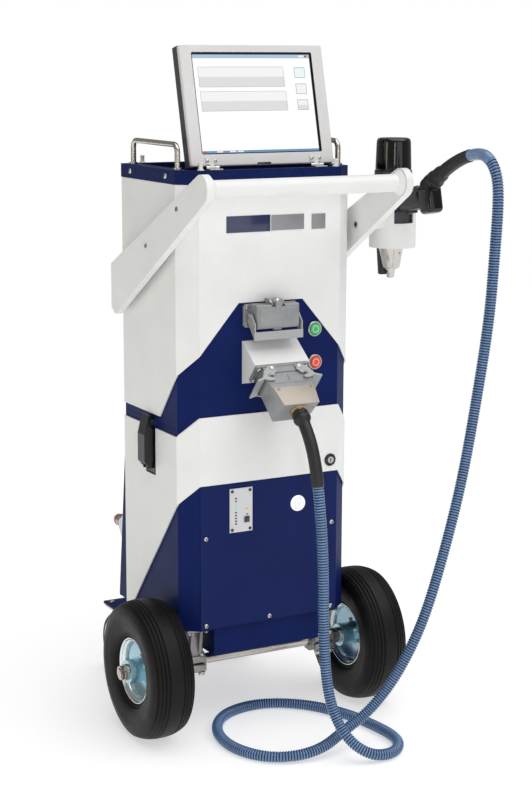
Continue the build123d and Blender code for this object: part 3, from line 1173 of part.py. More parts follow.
# ---------------------------------------------------------------- assembly
def build_all():
    pieces = {
        "lower_chassis": lower_chassis(), "upper_chassis": upper_chassis(), "upper_cover": upper_cover(),
        "lower_cover": lower_cover(), "access_panel": access_panel(), "rear_cover": rear_cover(),
        "top_tray": top_tray(), "base_frame": base_frame(), "optic_chamber": optic_chamber(),
        "computer_unit": computer_unit(), "spark_source": spark_source(), "battery_pack": battery_pack(),
        "axle": axle(), "axle_clamps": axle_clamps(), "caster_plates": caster_plates(),
        "handle_arms": handle_arms(), "push_bar": push_bar(), "fixings": fixings(),
        "lift_handles": group([lift_handle(-1), lift_handle(1)]),
        "monitor_housing": monitor_housing(), "monitor_bezel": monitor_bezel(),
        "touchscreen": touchscreen(), "hinge_leaves": hinge_leaves(),
        "holster_tube": holster_tube(), "holster_cup": holster_cup(),
        "probe_housing": probe_housing(), "motor_cap": motor_cap(), "probe_grip": probe_grip(),
        "trigger": trigger(), "spark_nozzle": spark_nozzle(), "probe_sleeve": probe_sleeve(),
        "spare_socket": spare_socket(), "socket_flap": socket_flap(), "flap_lever": flap_lever(),
        "wedge_box": wedge_box(), "probe_socket": probe_socket(), "plug_hood": plug_hood(),
        "plug_boot": plug_boot(), "hose": hose(), "control_rings": control_rings(),
        "key_barrel": key_barrel(), "start_button": push_button(WALL_FACE, START_POS),
        "stop_button": push_button(WALL_FACE, STOP_POS), "power_button": push_button(PANEL_FACE, POWER_POS),
        "charge_plate": charge_plate(), "charge_button": charge_button(),
        "latch_bases": latch_bases(), "gas_coupling": gas_coupling(),
    }
    for name, side in (("left", -1), ("right", 1)):
        pieces[f"tyre_{name}"] = tyre(side)
        pieces[f"rim_{name}"] = rim(side)
        pieces[f"caster_fork_{name}"] = caster_fork(side)
        pieces[f"caster_wheel_{name}"] = caster_wheel(side)
        pieces[f"plug_lever_{name}"] = plug_lever(side)
        pieces[f"latch_lever_{name}"] = latch_lever(side)
    return pieces


CORD_PIECES = ("hose", "plug_boot", "probe_sleeve")


def footprint_shift(pieces):
    """Move that puts the centre of the assembly's footprint, measured without the cord, at the origin."""
    boxes = [piece.bounding_box() for name, piece in pieces.items() if name not in CORD_PIECES]
    low = [min(getattr(box.min, axis) for box in boxes) for axis in "XYZ"]
    high = [max(getattr(box.max, axis) for box in boxes) for axis in "XYZ"]
    return Pos(-(low[0] + high[0]) / 2, -(low[1] + high[1]) / 2, -low[2])


def main():
    pieces = build_all()
    shift = footprint_shift(pieces)
    print("shift", tuple(round(v, 3) for v in shift.position))
    os.makedirs("parts", exist_ok=True)
    for name, piece in pieces.items():
        export_step(shift * piece, f"parts/{name}.step")


main()
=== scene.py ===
import json
import math

import bmesh
import bpy
from mathutils import Matrix, Vector

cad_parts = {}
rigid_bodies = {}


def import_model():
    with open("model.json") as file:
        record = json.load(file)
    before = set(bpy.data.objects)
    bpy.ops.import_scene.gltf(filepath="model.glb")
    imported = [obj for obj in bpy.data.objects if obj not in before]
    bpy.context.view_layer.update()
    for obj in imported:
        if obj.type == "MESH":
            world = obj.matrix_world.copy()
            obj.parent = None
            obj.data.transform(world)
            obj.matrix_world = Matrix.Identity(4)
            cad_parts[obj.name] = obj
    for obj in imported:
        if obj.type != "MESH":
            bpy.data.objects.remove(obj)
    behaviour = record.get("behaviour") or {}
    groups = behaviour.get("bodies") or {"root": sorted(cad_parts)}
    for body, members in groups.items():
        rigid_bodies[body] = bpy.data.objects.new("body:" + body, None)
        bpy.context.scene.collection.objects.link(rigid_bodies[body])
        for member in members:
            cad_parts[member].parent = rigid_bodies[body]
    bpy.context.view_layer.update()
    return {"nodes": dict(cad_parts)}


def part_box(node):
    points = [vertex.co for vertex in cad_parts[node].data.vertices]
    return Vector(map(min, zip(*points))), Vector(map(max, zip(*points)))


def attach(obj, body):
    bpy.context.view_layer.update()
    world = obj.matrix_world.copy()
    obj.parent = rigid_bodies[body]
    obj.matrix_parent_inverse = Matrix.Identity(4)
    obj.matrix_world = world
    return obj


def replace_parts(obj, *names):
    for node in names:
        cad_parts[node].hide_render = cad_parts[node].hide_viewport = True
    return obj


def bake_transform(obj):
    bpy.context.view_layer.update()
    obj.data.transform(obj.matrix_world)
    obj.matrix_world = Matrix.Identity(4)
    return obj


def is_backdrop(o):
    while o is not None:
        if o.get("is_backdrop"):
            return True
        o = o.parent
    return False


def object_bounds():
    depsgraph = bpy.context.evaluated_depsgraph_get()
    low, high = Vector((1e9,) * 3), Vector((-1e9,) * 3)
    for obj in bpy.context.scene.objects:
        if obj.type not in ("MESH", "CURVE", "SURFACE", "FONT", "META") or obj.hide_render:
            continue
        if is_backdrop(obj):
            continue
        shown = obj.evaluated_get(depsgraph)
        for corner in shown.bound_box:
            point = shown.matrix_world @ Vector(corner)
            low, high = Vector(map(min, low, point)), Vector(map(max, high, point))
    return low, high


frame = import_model()
in_scene = bpy.context.scene.collection.objects
SIDES = (("left", -1), ("right", 1))


# -------------------- cabinet shells
# Two folded steel boxes, one on the other, with chamfered front corners. They are welded, and powder
# coated in navy with a fine, slightly sparkling texture. The cooling cover on the back and the base
# under the cabinet are made and coated the same way.
HALF_DEPTH = 0.130                                      # from the middle plane to the covers' front
cover_low, cover_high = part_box("upper_cover")
ORIGIN = Vector(((cover_low.x + cover_high.x) / 2, cover_low.y + HALF_DEPTH, 0.0))
TROLLEY = Matrix.Translation(ORIGIN) @ Matrix.Scale(0.001, 4)      # millimetres from the middle plane


def material_of(name, values):
    """New material whose shader has the given constant values, and that shader."""
    material = bpy.data.materials.new(name)
    material.use_nodes = True
    shader = material.node_tree.nodes["Principled BSDF"]
    for socket, value in values.items():
        shader.inputs[socket].default_value = value
    return material, shader


def finish(name, colour, roughness, metallic=0.0, grain=0.0, grain_mm=1.2, mottle=0.0, mottle_mm=60.0,
           rub=0.0, edge_mm=0.6, coat=0.0, stretch=(1, 1, 1), specular=0.5):
    """Material with a grain in its normal, broad changes of shade and gloss, and softened edges."""
    material, shader = material_of(name, {
        "Base Color": (*colour, 1), "Roughness": roughness, "Metallic": metallic, "Coat Weight": coat,
        "Coat Roughness": 0.08, "Specular IOR Level": specular})
    nodes, links = material.node_tree.nodes, material.node_tree.links
    where = nodes.new("ShaderNodeTexCoord")
    turn = nodes.new("ShaderNodeMapping")
    turn.inputs["Scale"].default_value = stretch
    links.new(where.outputs["Object"], turn.inputs["Vector"])
    soft = nodes.new("ShaderNodeBevel")
    soft.samples = 4
    soft.inputs["Radius"].default_value = edge_mm / 1000
    bump = nodes.new("ShaderNodeBump")
    bump.inputs["Strength"].default_value = grain
    bump.inputs["Distance"].default_value = grain_mm * 0.0004
    fine = nodes.new("ShaderNodeTexNoise")
    fine.inputs["Scale"].default_value = 1000 / grain_mm
    fine.inputs["Detail"].default_value = 2.0
    links.new(turn.outputs["Vector"], fine.inputs["Vector"])
    links.new(fine.outputs["Fac"], bump.inputs["Height"])
    links.new(soft.outputs["Normal"], bump.inputs["Normal"])
    links.new(bump.outputs["Normal"], shader.inputs["Normal"])
    broad = nodes.new("ShaderNodeTexNoise")
    broad.inputs["Scale"].default_value = 1000 / mottle_mm
    broad.inputs["Detail"].default_value = 4.0
    links.new(turn.outputs["Vector"], broad.inputs["Vector"])
    if mottle:
        shade = nodes.new("ShaderNodeValToRGB")
        low, high = shade.color_ramp.elements
        low.position, high.position = 0.3, 0.7
        low.color = (*[c * (1 - mottle) for c in colour], 1)
        high.color = (*[min(1, c * (1 + mottle)) for c in colour], 1)
        links.new(broad.outputs["Fac"], shade.inputs["Fac"])
        links.new(shade.outputs["Color"], shader.inputs["Base Color"])
    if rub:
        gloss = nodes.new("ShaderNodeMapRange")
        gloss.inputs["To Min"].default_value = max(0.02, roughness - rub)
        gloss.inputs["To Max"].default_value = min(1.0, roughness + rub)
        links.new(broad.outputs["Fac"], gloss.inputs["Value"])
        links.new(gloss.outputs["Result"], shader.inputs["Roughness"])
    return material


def dress(material, *names):
    """Gives a finish to CAD nodes that show as they are."""
    for name in names:
        for place in frame["nodes"][name].material_slots:
            place.material = material


navy_coat = finish("navy_coat", (0.0045, 0.0135, 0.092), 0.46, grain=0.35, grain_mm=2.2, mottle=0.10,
                   rub=0.08, edge_mm=1.2, specular=0.08)
dress(navy_coat, "lower_chassis", "upper_chassis", "rear_cover", "base_frame")


def piece(name, mesh, materials, body, place=TROLLEY, angle=35, bevel_mm=0):
    """Finished object from a bmesh in millimetres: placed, smoothed, named and riding on its body."""
    mesh.transform(place)
    data = bpy.data.meshes.new(name)
    mesh.to_mesh(data)
    mesh.free()
    for material in materials if isinstance(materials, (list, tuple)) else [materials]:
        data.materials.append(material)
    data.shade_smooth()
    data.set_sharp_from_angle(angle=math.radians(angle))
    made = bpy.data.objects.new(name, data)
    in_scene.link(made)
    if bevel_mm:
        rounding = made.modifiers.new("rounding", "BEVEL")
        rounding.width = bevel_mm / 1000
        rounding.segments = 2
        rounding.limit_method = "ANGLE"
    if body:
        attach(made, body)
    return made


AXES = {name: Matrix.Rotation(math.radians(angle), 4, about) for name, angle, about in (
    ("X", 90, "Y"), ("-X", -90, "Y"), ("Y", -90, "X"), ("-Y", 90, "X"), ("Z", 0, "X"), ("-Z", 180, "X"))}


def aim(x, y, z, axis="Z"):
    """Frame at a point with its own Z along an axis of the parent frame."""
    return Matrix.Translation((x, y, z)) @ AXES[axis]


def tilted(x, y, z, angle):
    """Frame in millimetres at a point of the trolley, turned about X."""
    return TROLLEY @ Matrix.Translation((x, y, z)) @ Matrix.Rotation(angle, 4, "X")


def edges_of(verts):
    """Every edge that ends at one of the vertices."""
    return list(dict.fromkeys(edge for vert in verts for edge in vert.link_edges))


def paint(verts, index):
    """Gives the faces at these vertices a material of the piece's list."""
    for face in {face for vert in verts for face in vert.link_faces}:
        face.material_index = index


def soften(mesh, edges, width, segments=2, made=(), clamp=False):
    """Rounds edges, and returns the vertices that the form then has."""
    out = bmesh.ops.bevel(mesh, geom=edges, offset=width, segments=segments, affect="EDGES", profile=0.5,
                          material=-1, clamp_overlap=clamp)
    kept = [vert for vert in made if vert.is_valid]
    return list(dict.fromkeys(kept + [vert for face in out["faces"] for vert in face.verts]))


def add_block(mesh, low, high, bevel=0.0, segments=2, index=0):
    """Box between two corners, with rounded edges where a bevel is given."""
    low, high = Vector(low), Vector(high)
    made = bmesh.ops.create_cube(mesh, size=1)["verts"]
    bmesh.ops.scale(mesh, verts=made, vec=high - low)
    bmesh.ops.translate(mesh, verts=made, vec=(low + high) / 2)
    if bevel:
        made = soften(mesh, edges_of(made), bevel, segments, made, clamp=True)
    paint(made, index)
    return made


def add_turned(mesh, outline, at=Matrix(), steps=32, index=0):
    """Solid of revolution about the frame's Z from a (radius, height) outline."""
    verts = [mesh.verts.new((max(radius, 0.0), 0, height)) for radius, height in outline]
    edges = [mesh.edges.new(pair) for pair in zip(verts, verts[1:])]
    before = set(mesh.faces)
    bmesh.ops.spin(mesh, geom=verts + edges, cent=(0, 0, 0), axis=(0, 0, 1), dvec=(0, 0, 0),
                   angle=2 * math.pi, steps=steps, use_merge=True, use_duplicate=False)
    made = list(dict.fromkeys(vert for face in mesh.faces if face not in before for vert in face.verts))
    bmesh.ops.remove_doubles(mesh, verts=made, dist=0.001)
    faces = [face for face in mesh.faces if face not in before]
    made = list(dict.fromkeys(vert for face in faces for vert in face.verts))
    bmesh.ops.recalc_face_normals(mesh, faces=faces)
    paint(made, index)
    bmesh.ops.transform(mesh, matrix=at, verts=made)


def add_hexagon(mesh, radius, low, high, at=Matrix(), index=0):
    """Six-sided head or recess between two heights on the frame's Z."""
    made = bmesh.ops.create_cone(mesh, cap_ends=True, segments=6, radius1=radius, radius2=radius,
                                 depth=high - low)["verts"]
    bmesh.ops.translate(mesh, verts=made, vec=(0, 0, (low + high) / 2))
    paint(made, index)
    bmesh.ops.transform(mesh, matrix=at, verts=made)


def add_bolt(mesh, at, washer, head, low, high, steps=24, seat=0.0, thick=1.2):
    """Hexagon head between two heights on a round washer."""
    add_turned(mesh, [(0, seat), (washer, seat), (washer, seat + thick), (0, seat + thick)], at, steps)
    add_hexagon(mesh, head, low, high, at)


# -------------------- covers
# Two wrap-round covers of folded sheet over the navy shells, cut to slanting lines, plus the box that
# tilts the probe's socket. They have a white powder coat with a light orange-peel texture.
white_coat = finish("white_coat", (0.82, 0.825, 0.81), 0.38, grain=0.30, grain_mm=2.6, mottle=0.025,
                    rub=0.06, edge_mm=1.0)
dress(white_coat, "upper_cover", "lower_cover", "wedge_box")

# -------------------- badges
# Three blank plates glued to the front cover: navy and brushed silver foils and a small square one.
badge_navy = finish("badge_navy", (0.012, 0.018, 0.07), 0.25, coat=0.5, mottle=0.05)
badge_silver = finish("badge_silver", (0.27, 0.27, 0.28), 0.42, metallic=0.5, grain=0.15, grain_mm=1.0,
                      stretch=(0.02, 1, 1), rub=0.05)
COVER_FACE = -129.9
for name, x0, x1, z0, z1, material in (("badge_wide", -91, -2, 938, 968, badge_navy),
                                       ("badge_middle", 0, 68, 939, 967, badge_silver),
                                       ("badge_small", 84, 113, 938, 966, badge_silver)):
    plate = bmesh.new()
    add_block(plate, (x0, COVER_FACE - 1, z0), (x1, COVER_FACE, z1), bevel=0.4)
    piece(name, plate, material, "trolley")

# -------------------- access panel and screws
# Flat navy panel over the service opening, held by zinc-plated button-head socket screws. The same
# screws hold the tray, and small countersunk ones on turned spacers hold the handle arms.
navy_panel = finish("navy_panel", (0.0042, 0.0130, 0.090), 0.44, grain=0.28, grain_mm=2.0, mottle=0.08,
                    rub=0.08, edge_mm=1.0, specular=0.13)
dress(navy_panel, "access_panel")
zinc = finish("zinc_plate", (0.62, 0.61, 0.57), 0.28, metallic=1.0, grain=0.1, grain_mm=1.5, mottle=0.12,
              mottle_mm=9, rub=0.10, edge_mm=0.3)
# Black for the insides of screw sockets and holes, which are dark only from shade: painted shade.
hole_painted_shade = finish("hole_painted_shade", (0.01, 0.01, 0.01), 0.7, mottle=0.1, edge_mm=0.2)


def add_button_screw(mesh, at, radius=4.5, height=2.6):
    """Domed screw head whose socket is a dark hexagon of painted shade."""
    dome = [(radius, 0), (radius, height * 0.2), (radius * 0.86, height * 0.62),
            (radius * 0.6, height * 0.92), (radius * 0.46, height), (0, height)]
    add_turned(mesh, dome, at, 24)
    add_hexagon(mesh, radius * 0.42, height * 0.6, height + 0.05, at, 1)


PANEL_SEAT, SIDE_SEAT, ARM_FACE = -129.2, 178.2, 205.1
screws = bmesh.new()
for x, z in ((-133, 379), (-133, 213), (0, 213), (133, 213), (133, 379)):
    add_button_screw(screws, aim(x, PANEL_SEAT, z, "-Y"))
for side, axis in ((-1, "-X"), (1, "X")):
    for y in (-62, 90):
        add_button_screw(screws, aim(side * SIDE_SEAT, y, 1038, axis), 5.0)
    for x in (-155, 155):
        add_button_screw(screws, aim(x, 257, 155.2, "Z"), 7, 3.6)
    for y, z in ((-164, 987), (-35, 911)):
        at = aim(side * ARM_FACE, y, z, axis)
        add_turned(screws, [(5.6, 0), (5.6, 0.6), (4.6, 1.2), (3.0, 1.2), (0, 1.2)], at, 24)
        # Its socket is a dark hexagon of painted shade.
        add_hexagon(screws, 2.6, 0.6, 1.26, at, 1)
    for y, z in ((-35, 911), (70, 850)):
        add_turned(screws, [(9, 0), (9, 12.4), (0, 12.4)], aim(side * (SIDE_SEAT + 0.1), y, z, axis), 24)
    # Bolt end through the arm: a zinc ring round a dark disc, painted shade for the hole.
    at = aim(side * 190.9, -111, 940, "-X" if side > 0 else "X")
    add_turned(screws, [(4.6, 0), (6.8, 0), (6.8, 0.9), (6.2, 1.4), (4.6, 1.4), (4.6, 0)], at, 24)
    add_turned(screws, [(4.7, 0), (4.7, 0.5), (0, 0.3)], at, 24, 1)
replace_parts(piece("screws_and_spacers", screws, [zinc, hole_painted_shade], "trolley"), "fixings")

# -------------------- top tray and lid pegs
# Folded navy tray that closes the cabinet's top, with the recess that the monitor folds into. Its coat
# is coarser than the cabinet's. Four white plastic pegs on its corners centre the transit lid.
tray_coat = finish("tray_coat", (0.007, 0.016, 0.085), 0.36, grain=0.85, grain_mm=3.0, mottle=0.22,
                   mottle_mm=5, rub=0.14, edge_mm=1.2, specular=0.05)
dress(tray_coat, "top_tray")
peg_white = finish("peg_white", (0.72, 0.71, 0.68), 0.35, mottle=0.03)
TRAY_TOP = 1050.1
pegs = bmesh.new()
for x in (-138, 138):
    for y in (-123, 123):
        add_turned(pegs, [(6.2, 0), (6.2, 1.5), (5.6, 2.1), (4.4, 2.5), (3.9, 3.5), (3.8, 10.9), (4.2, 12.4),
                          (4.2, 13.5), (3.4, 14.3), (0, 14.5)], aim(x, y, TRAY_TOP), 24)
piece("lid_pegs", pegs, peg_white, "trolley")

# -------------------- lift handles
# Two U-shaped handles of bent stainless bar, ground and left bare, screwed through the tray's rim.
stainless = finish("stainless_bar", (0.58, 0.54, 0.48), 0.24, metallic=1.0, grain=0.25, grain_mm=1.2,
                   stretch=(1, 0.06, 1), mottle=0.08, mottle_mm=25, rub=0.08, edge_mm=0.3)
dress(stainless, "lift_handles")

# -------------------- push bar
# Two flat arms with a round tube between them, all in the covers' white coat. A flared collar covers
# each weld between bar and arm.
dress(white_coat, "handle_arms", "push_bar", "holster_tube", "holster_cup")

# -------------------- monitor
# Industrial touch monitor: charcoal back shell, light grey front frame with a thin dark gap round the
# glass, and a backlit display that shows a plain window with two wide keys and three small ones.
TILT = math.radians(13.8)
MONITOR = tilted(0, -104, 1056, math.pi / 2 - TILT)     # u to the right, v up the glass, w out of it
shell_charcoal = finish("shell_charcoal", (0.045, 0.047, 0.055), 0.5, grain=0.25, grain_mm=1.2,
                        mottle=0.08, rub=0.06, edge_mm=0.8)
frame_grey = finish("frame_grey", (0.70, 0.69, 0.685), 0.42, grain=0.12, grain_mm=1.0, mottle=0.02,
                    rub=0.05, edge_mm=1.5)
dress(shell_charcoal, "monitor_housing")
dress(frame_grey, "monitor_bezel")


def lit(name, colour, strength, roughness=0.15):
    """Surface that glows by itself under a smooth cover."""
    return material_of(name, {
        "Base Color": (*[c * 0.04 for c in colour], 1), "Roughness": roughness, "Specular IOR Level": 0.2,
        "Emission Color": (*colour, 1), "Emission Strength": strength})[0]


screen_white = lit("screen_white", (0.98, 0.99, 1.0), 1.0)
screen_black = finish("screen_black", (0.006, 0.006, 0.008), 0.2, coat=0.4, mottle=0.05, edge_mm=0.2)
screen_sky = lit("screen_sky", (0.44, 0.60, 0.78), 0.9)
screen_deep = lit("screen_deep", (0.16, 0.32, 0.56), 0.9)
key_light = lit("key_light", (0.87, 0.87, 0.87), 1.0)
key_dark = lit("key_dark", (0.71, 0.71, 0.71), 1.0)
key_rim = lit("key_rim", (0.42, 0.42, 0.42), 1.0)
key_blue = lit("key_blue", (0.16, 0.50, 0.72), 1.0)
key_red = lit("key_red", (0.62, 0.06, 0.03), 1.0)
dress(screen_black, "touchscreen")
LEFT, RIGHT, FOOT, TOP = -121.5, 118, 23.4, 200.8       # the lit picture, measured on the glass
WHITE, SKY, DEEP, LIGHT, DARK, RIM, BLUE, RED = range(8)
display = bmesh.new()
add_block(display, (LEFT, FOOT, -2.1), (RIGHT, TOP, -1.6), index=WHITE)
add_block(display, (LEFT, 194, -1.7), (RIGHT, TOP, -1.5), index=SKY)
add_block(display, (LEFT, FOOT, -1.7), (RIGHT, 27.2, -1.5), index=DEEP)
for u0, u1, v0, v1 in ((-112, 61, 142.5, 178), (-112, 62, 99, 133.5)):
    add_block(display, (u0 - 0.8, v0 - 0.8, -1.7), (u1 + 0.8, v1 + 0.8, -1.5), index=RIM)
    add_block(display, (u0, v0, -1.6), (u1, (v0 + v1) / 2, -1.42), index=DARK)
    add_block(display, (u0, (v0 + v1) / 2, -1.6), (u1, v1, -1.42), index=LIGHT)
for v, rim in ((158, BLUE), (128, RIM), (98.5, RIM)):
    add_block(display, (83.4, v, -1.7), (106, v + 19.5, -1.5), index=rim)
    add_block(display, (84.6, v + 1.2, -1.6), (104.8, v + 9.4, -1.42), index=DARK if v < 100 else LIGHT)
    add_block(display, (84.6, v + 9.4, -1.6), (104.8, v + 18.3, -1.42), index=LIGHT)
for u, colour in ((96, LIGHT), (102, LIGHT), (108, RED)):
    add_block(display, (u, 195.8, -1.6), (u + 5, 199.4, -1.4), index=colour)
for u0, u1 in ((-92, -80), (-66, -54), (-50, -38)):
    add_block(display, (u0, 24.2, -1.6), (u1, 26.4, -1.4), index=LIGHT)
add_block(display, (-118, 23.8, -1.6), (-112, 26.8, -1.4), index=RED)
piece("display", display, [screen_white, screen_sky, screen_deep, key_light, key_dark, key_rim, key_blue,
                           key_red], "monitor", MONITOR)
edging = bmesh.new()
for low, high in (((-123, 203.2, -7.9), (123, 205.1, -0.4)), ((-123, 20.9, -7.9), (123, 22.2, -0.4)),
                  ((-123.1, 21, -7.9), (-121.6, 205, -0.4)), ((121.6, 21, -7.9), (123.1, 205, -0.4))):
    add_block(edging, low, high)
piece("glass_edging", edging, screen_black, "monitor", MONITOR)
sensor = bmesh.new()
add_block(sensor, (-14, 1.0, -5.5), (14, 4.6, 0.25), bevel=0.3)
piece("sensor_window", sensor, screen_black, "monitor", MONITOR)

# -------------------- monitor hinges
# Two small zinc-plated steel hinges: the fixed leaves lie on the tray's rim, the moving leaves are
# screwed to the front frame with two button-head screws each.
dress(zinc, "hinge_leaves")
hinge_screws = bmesh.new()
for x in (-107, 107):
    for offset in (-8, 8):
        add_button_screw(hinge_screws, aim(x + offset, 8.6, 1.5), 3.4, 1.9)
piece("hinge_screws", hinge_screws, [zinc, hole_painted_shade], "monitor", MONITOR)

# -------------------- probe
# Pistol-shaped spark probe standing in its holster cup. The head and grip are dark grey moulded nylon,
# the motor cap and the cable knuckle polished black, and the nozzle is turned steel with a black shoe.
probe_grey = finish("probe_grey", (0.038, 0.040, 0.046), 0.36, grain=0.15, grain_mm=1.0, mottle=0.08,
                    rub=0.06, edge_mm=1.5)
gloss_black = finish("gloss_black", (0.0022, 0.0018, 0.0018), 0.12, grain=0.02, grain_mm=4, mottle=0.15,
                     rub=0.04, edge_mm=1.2, coat=0.4, specular=0.35)
nozzle_steel = finish("nozzle_steel", (0.58, 0.55, 0.52), 0.16, metallic=1.0, grain=0.3, grain_mm=0.8,
                      stretch=(1, 1, 0.05), mottle=0.10, mottle_mm=12, rub=0.08, edge_mm=0.3)
matte_black = finish("matte_black", (0.012, 0.011, 0.011), 0.5, grain=0.25, grain_mm=1.0, mottle=0.12,
                     rub=0.08, edge_mm=0.6)
dress(probe_grey, "probe_housing", "trigger")
HEAD_X, HEAD_Y = 282, -94
cap = bmesh.new()
add_turned(cap, [(0, 1037.3), (33.4, 1037.3), (34, 1038), (33.9, 1041), (32.3, 1089), (31.6, 1093.4),
                 (29.6, 1096.6), (26.4, 1097.8), (0, 1098)], aim(HEAD_X, HEAD_Y, 0), 64)
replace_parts(piece("drive_cap", cap, gloss_black, "probe", angle=60), "motor_cap")
GRIP_TURN = math.radians(13)
GRIP = tilted(HEAD_X, HEAD_Y - 38, 981, math.pi / 2 - GRIP_TURN)        # w runs out along the grip
grip = bmesh.new()
add_block(grip, (-18, -20, 4.3), (18, 20, 73), bevel=8, segments=5)
add_block(grip, (-15, -22.5, 36), (15, -16, 66), bevel=3, segments=3)
knuckle = bmesh.new()
add_block(knuckle, (-17, -36, 71), (17, 17, 108), bevel=9, segments=5)
add_turned(knuckle, [(0, 0), (16.5, 0), (17.6, 1.2), (17.6, 4), (16.5, 5.2), (0, 5.2)], aim(0, 0, 66.5),
           40)
grip_piece = piece("grip_shell", grip, probe_grey, "probe", GRIP, angle=50)
knuckle_piece = piece("cable_knuckle", knuckle, gloss_black, "probe", GRIP, angle=50)
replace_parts(grip_piece, "probe_grip")
NOZZLE_X = HEAD_X - 3
nozzle = bmesh.new()
add_turned(nozzle, [(0, 896.8), (24.4, 896.8), (24.4, 893.5), (24, 892), (17.6, 855), (15.6, 852.6),
                    (9.6, 852.4), (9.2, 849), (8.8, 847), (7.4, 835), (6.6, 834.1), (3.6, 834), (3.0, 837),
                    (0, 837)], aim(NOZZLE_X, HEAD_Y, 0), 48)
add_turned(nozzle, [(1.9, 0), (1.9, 0.8), (1.2, 1.3), (0, 1.3)],
           aim(HEAD_X + 3, HEAD_Y - 21.4, 882, "-Y"), 16, index=1)
add_block(nozzle, (NOZZLE_X - 12.5, HEAD_Y - 5, 849.8), (NOZZLE_X + 11.5, HEAD_Y + 5, 853.6), bevel=0.8)
brass = finish("brass", (0.46, 0.33, 0.17), 0.34, metallic=1.0, grain=0.1, mottle=0.1, mottle_mm=10,
               rub=0.06, edge_mm=0.3)
SHOE_FOOT, SHOE_TOP = 840, 892.4
shoe = bmesh.new()
for vert in add_block(shoe, (HEAD_X - 26, HEAD_Y + 3, SHOE_FOOT), (HEAD_X - 4, HEAD_Y + 15, SHOE_TOP)):
    if vert.co.z < (SHOE_FOOT + SHOE_TOP) / 2:
        vert.co.x = HEAD_X - 22 if vert.co.x < HEAD_X - 20 else HEAD_X - 5
soften(shoe, shoe.edges[:], 1.2)
nozzle_piece = piece("nozzle_cone", nozzle, [nozzle_steel, brass], "probe")
piece("nozzle_shoe", shoe, matte_black, "probe")
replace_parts(nozzle_piece, "spark_nozzle")

# -------------------- spare socket
# Heavy-duty bulkhead connector housing of die-cast aluminium in grey powder coat. Its lid swings on a
# zinc pin with a spring, and a pressed lever with a wide bar locks it shut.
cast_grey = finish("cast_grey", (0.30, 0.304, 0.31), 0.44, metallic=0.25, grain=0.5, grain_mm=2.0,
                   mottle=0.07, mottle_mm=18, rub=0.08, edge_mm=1.4)
lever_grey = finish("lever_grey", (0.40, 0.405, 0.41), 0.42, metallic=0.2, grain=0.2, grain_mm=1.4,
                    mottle=0.04, rub=0.06, edge_mm=0.8)
dress(cast_grey, "spare_socket", "socket_flap", "probe_socket")
dress(lever_grey, "flap_lever", "plug_lever_left", "plug_lever_right")
UPPER_FACE = -127.3                                     # front of the upper navy shell
SPARE = tilted(-2, UPPER_FACE, 787, math.pi / 2)        # its own z points out of the front


def add_slab(mesh, low, high, corner, edge):
    """Plate with round corners in plan and softened edges."""
    made = add_block(mesh, low, high)
    upright = [rim for rim in edges_of(made) if abs(rim.verts[0].co.z - rim.verts[1].co.z) > 1e-6]
    made = soften(mesh, upright, corner, 5, made)
    rims = [rim for rim in edges_of(made) if abs(rim.verts[0].co.z - rim.verts[1].co.z) < 1e-6
            and len(rim.link_faces) == 2 and rim.calc_face_angle(0) > 1.0]
    soften(mesh, rims, edge)


crown = bmesh.new()
add_slab(crown, (-42.6, -20.6, 33.2), (42.6, 17.8, 36.6), 6.5, 1.4)
add_slab(crown, (-38.5, -16.6, 36.0), (38.5, 13.8, 38.6), 4.5, 1.1)
add_block(crown, (-6.5, 12, 34), (6.5, 27, 38.2), bevel=1.5, segments=2)
piece("lid_crown", crown, cast_grey, "flap", SPARE, angle=40)
hinge_pin = bmesh.new()
for side, axis in ((-1, "-X"), (1, "X")):
    add_button_screw(hinge_pin, aim(side * 11.9, 26.5, 27, axis), 3.6, 3.0)
add_turned(hinge_pin, [(5.6, -2.5), (6.2, -2), (6.2, 2), (5.6, 2.5), (5.2, 2.5), (5.2, -2.5), (5.6, -2.5)],
           aim(0, 26.5, 27, "X"), 24)
piece("lid_pin", hinge_pin, [zinc, hole_painted_shade], "trolley", SPARE)
FLANGE_SCREWS = [(x, y) for x in (-48, 48) for y in (-15, 15)]
FLANGE_TOP = 7.0
flange_screws = bmesh.new()
for x, y in FLANGE_SCREWS:
    add_button_screw(flange_screws, aim(x, y, FLANGE_TOP), 4.05, 0.6)
piece("spare_flange_screws", flange_screws, [zinc, hole_painted_shade], "trolley", SPARE)

# -------------------- probe plug
# Cast hood on the probe's cable, locked to its socket by two hooked levers. A thin nickel-plated cover
# closes its sloping front, and a brass gland holds the cable.
WEDGE_TOP, WEDGE_FOOT = Vector((-2, -178, 704)), Vector((-2, -149, 671))     # edges of its sloping face
SLOPE = (WEDGE_FOOT - WEDGE_TOP).normalized()
OUT = Vector((0, SLOPE.z, -SLOPE.y))
SEAT = (WEDGE_TOP + WEDGE_FOOT) / 2 + OUT * 0.3
PLUG = tilted(*SEAT, math.atan2(-OUT.y, OUT.z))         # its own z points out of the wedge
HOOD_SIDE, HOOD_HALF, HOOD_FOOT = 20.5, 46, 18.4
hood = bmesh.new()
add_block(hood, (-HOOD_HALF, -HOOD_SIDE, HOOD_FOOT), (HOOD_HALF, HOOD_SIDE, HOOD_FOOT + 27))
soften(hood, hood.edges[:], 2.2, 3)
chamber = bmesh.ops.create_cube(hood, size=1)["verts"]
for vert in chamber:
    top = vert.co.z > 0
    front = vert.co.y > 0
    vert.co.x = (36.5 if top else HOOD_HALF) * (1 if vert.co.x > 0 else -1)
    vert.co.y = HOOD_SIDE + 2 if front else -HOOD_SIDE - (14 if top else 0)
    vert.co.z = (95.8 if front else 88) if top else (44 if front else 41)
soften(hood, edges_of(chamber), 2.6, 3)
add_block(hood, (-1.2, HOOD_SIDE - 0.2, 26), (1.2, HOOD_SIDE + 1.0, 44), bevel=0.4)
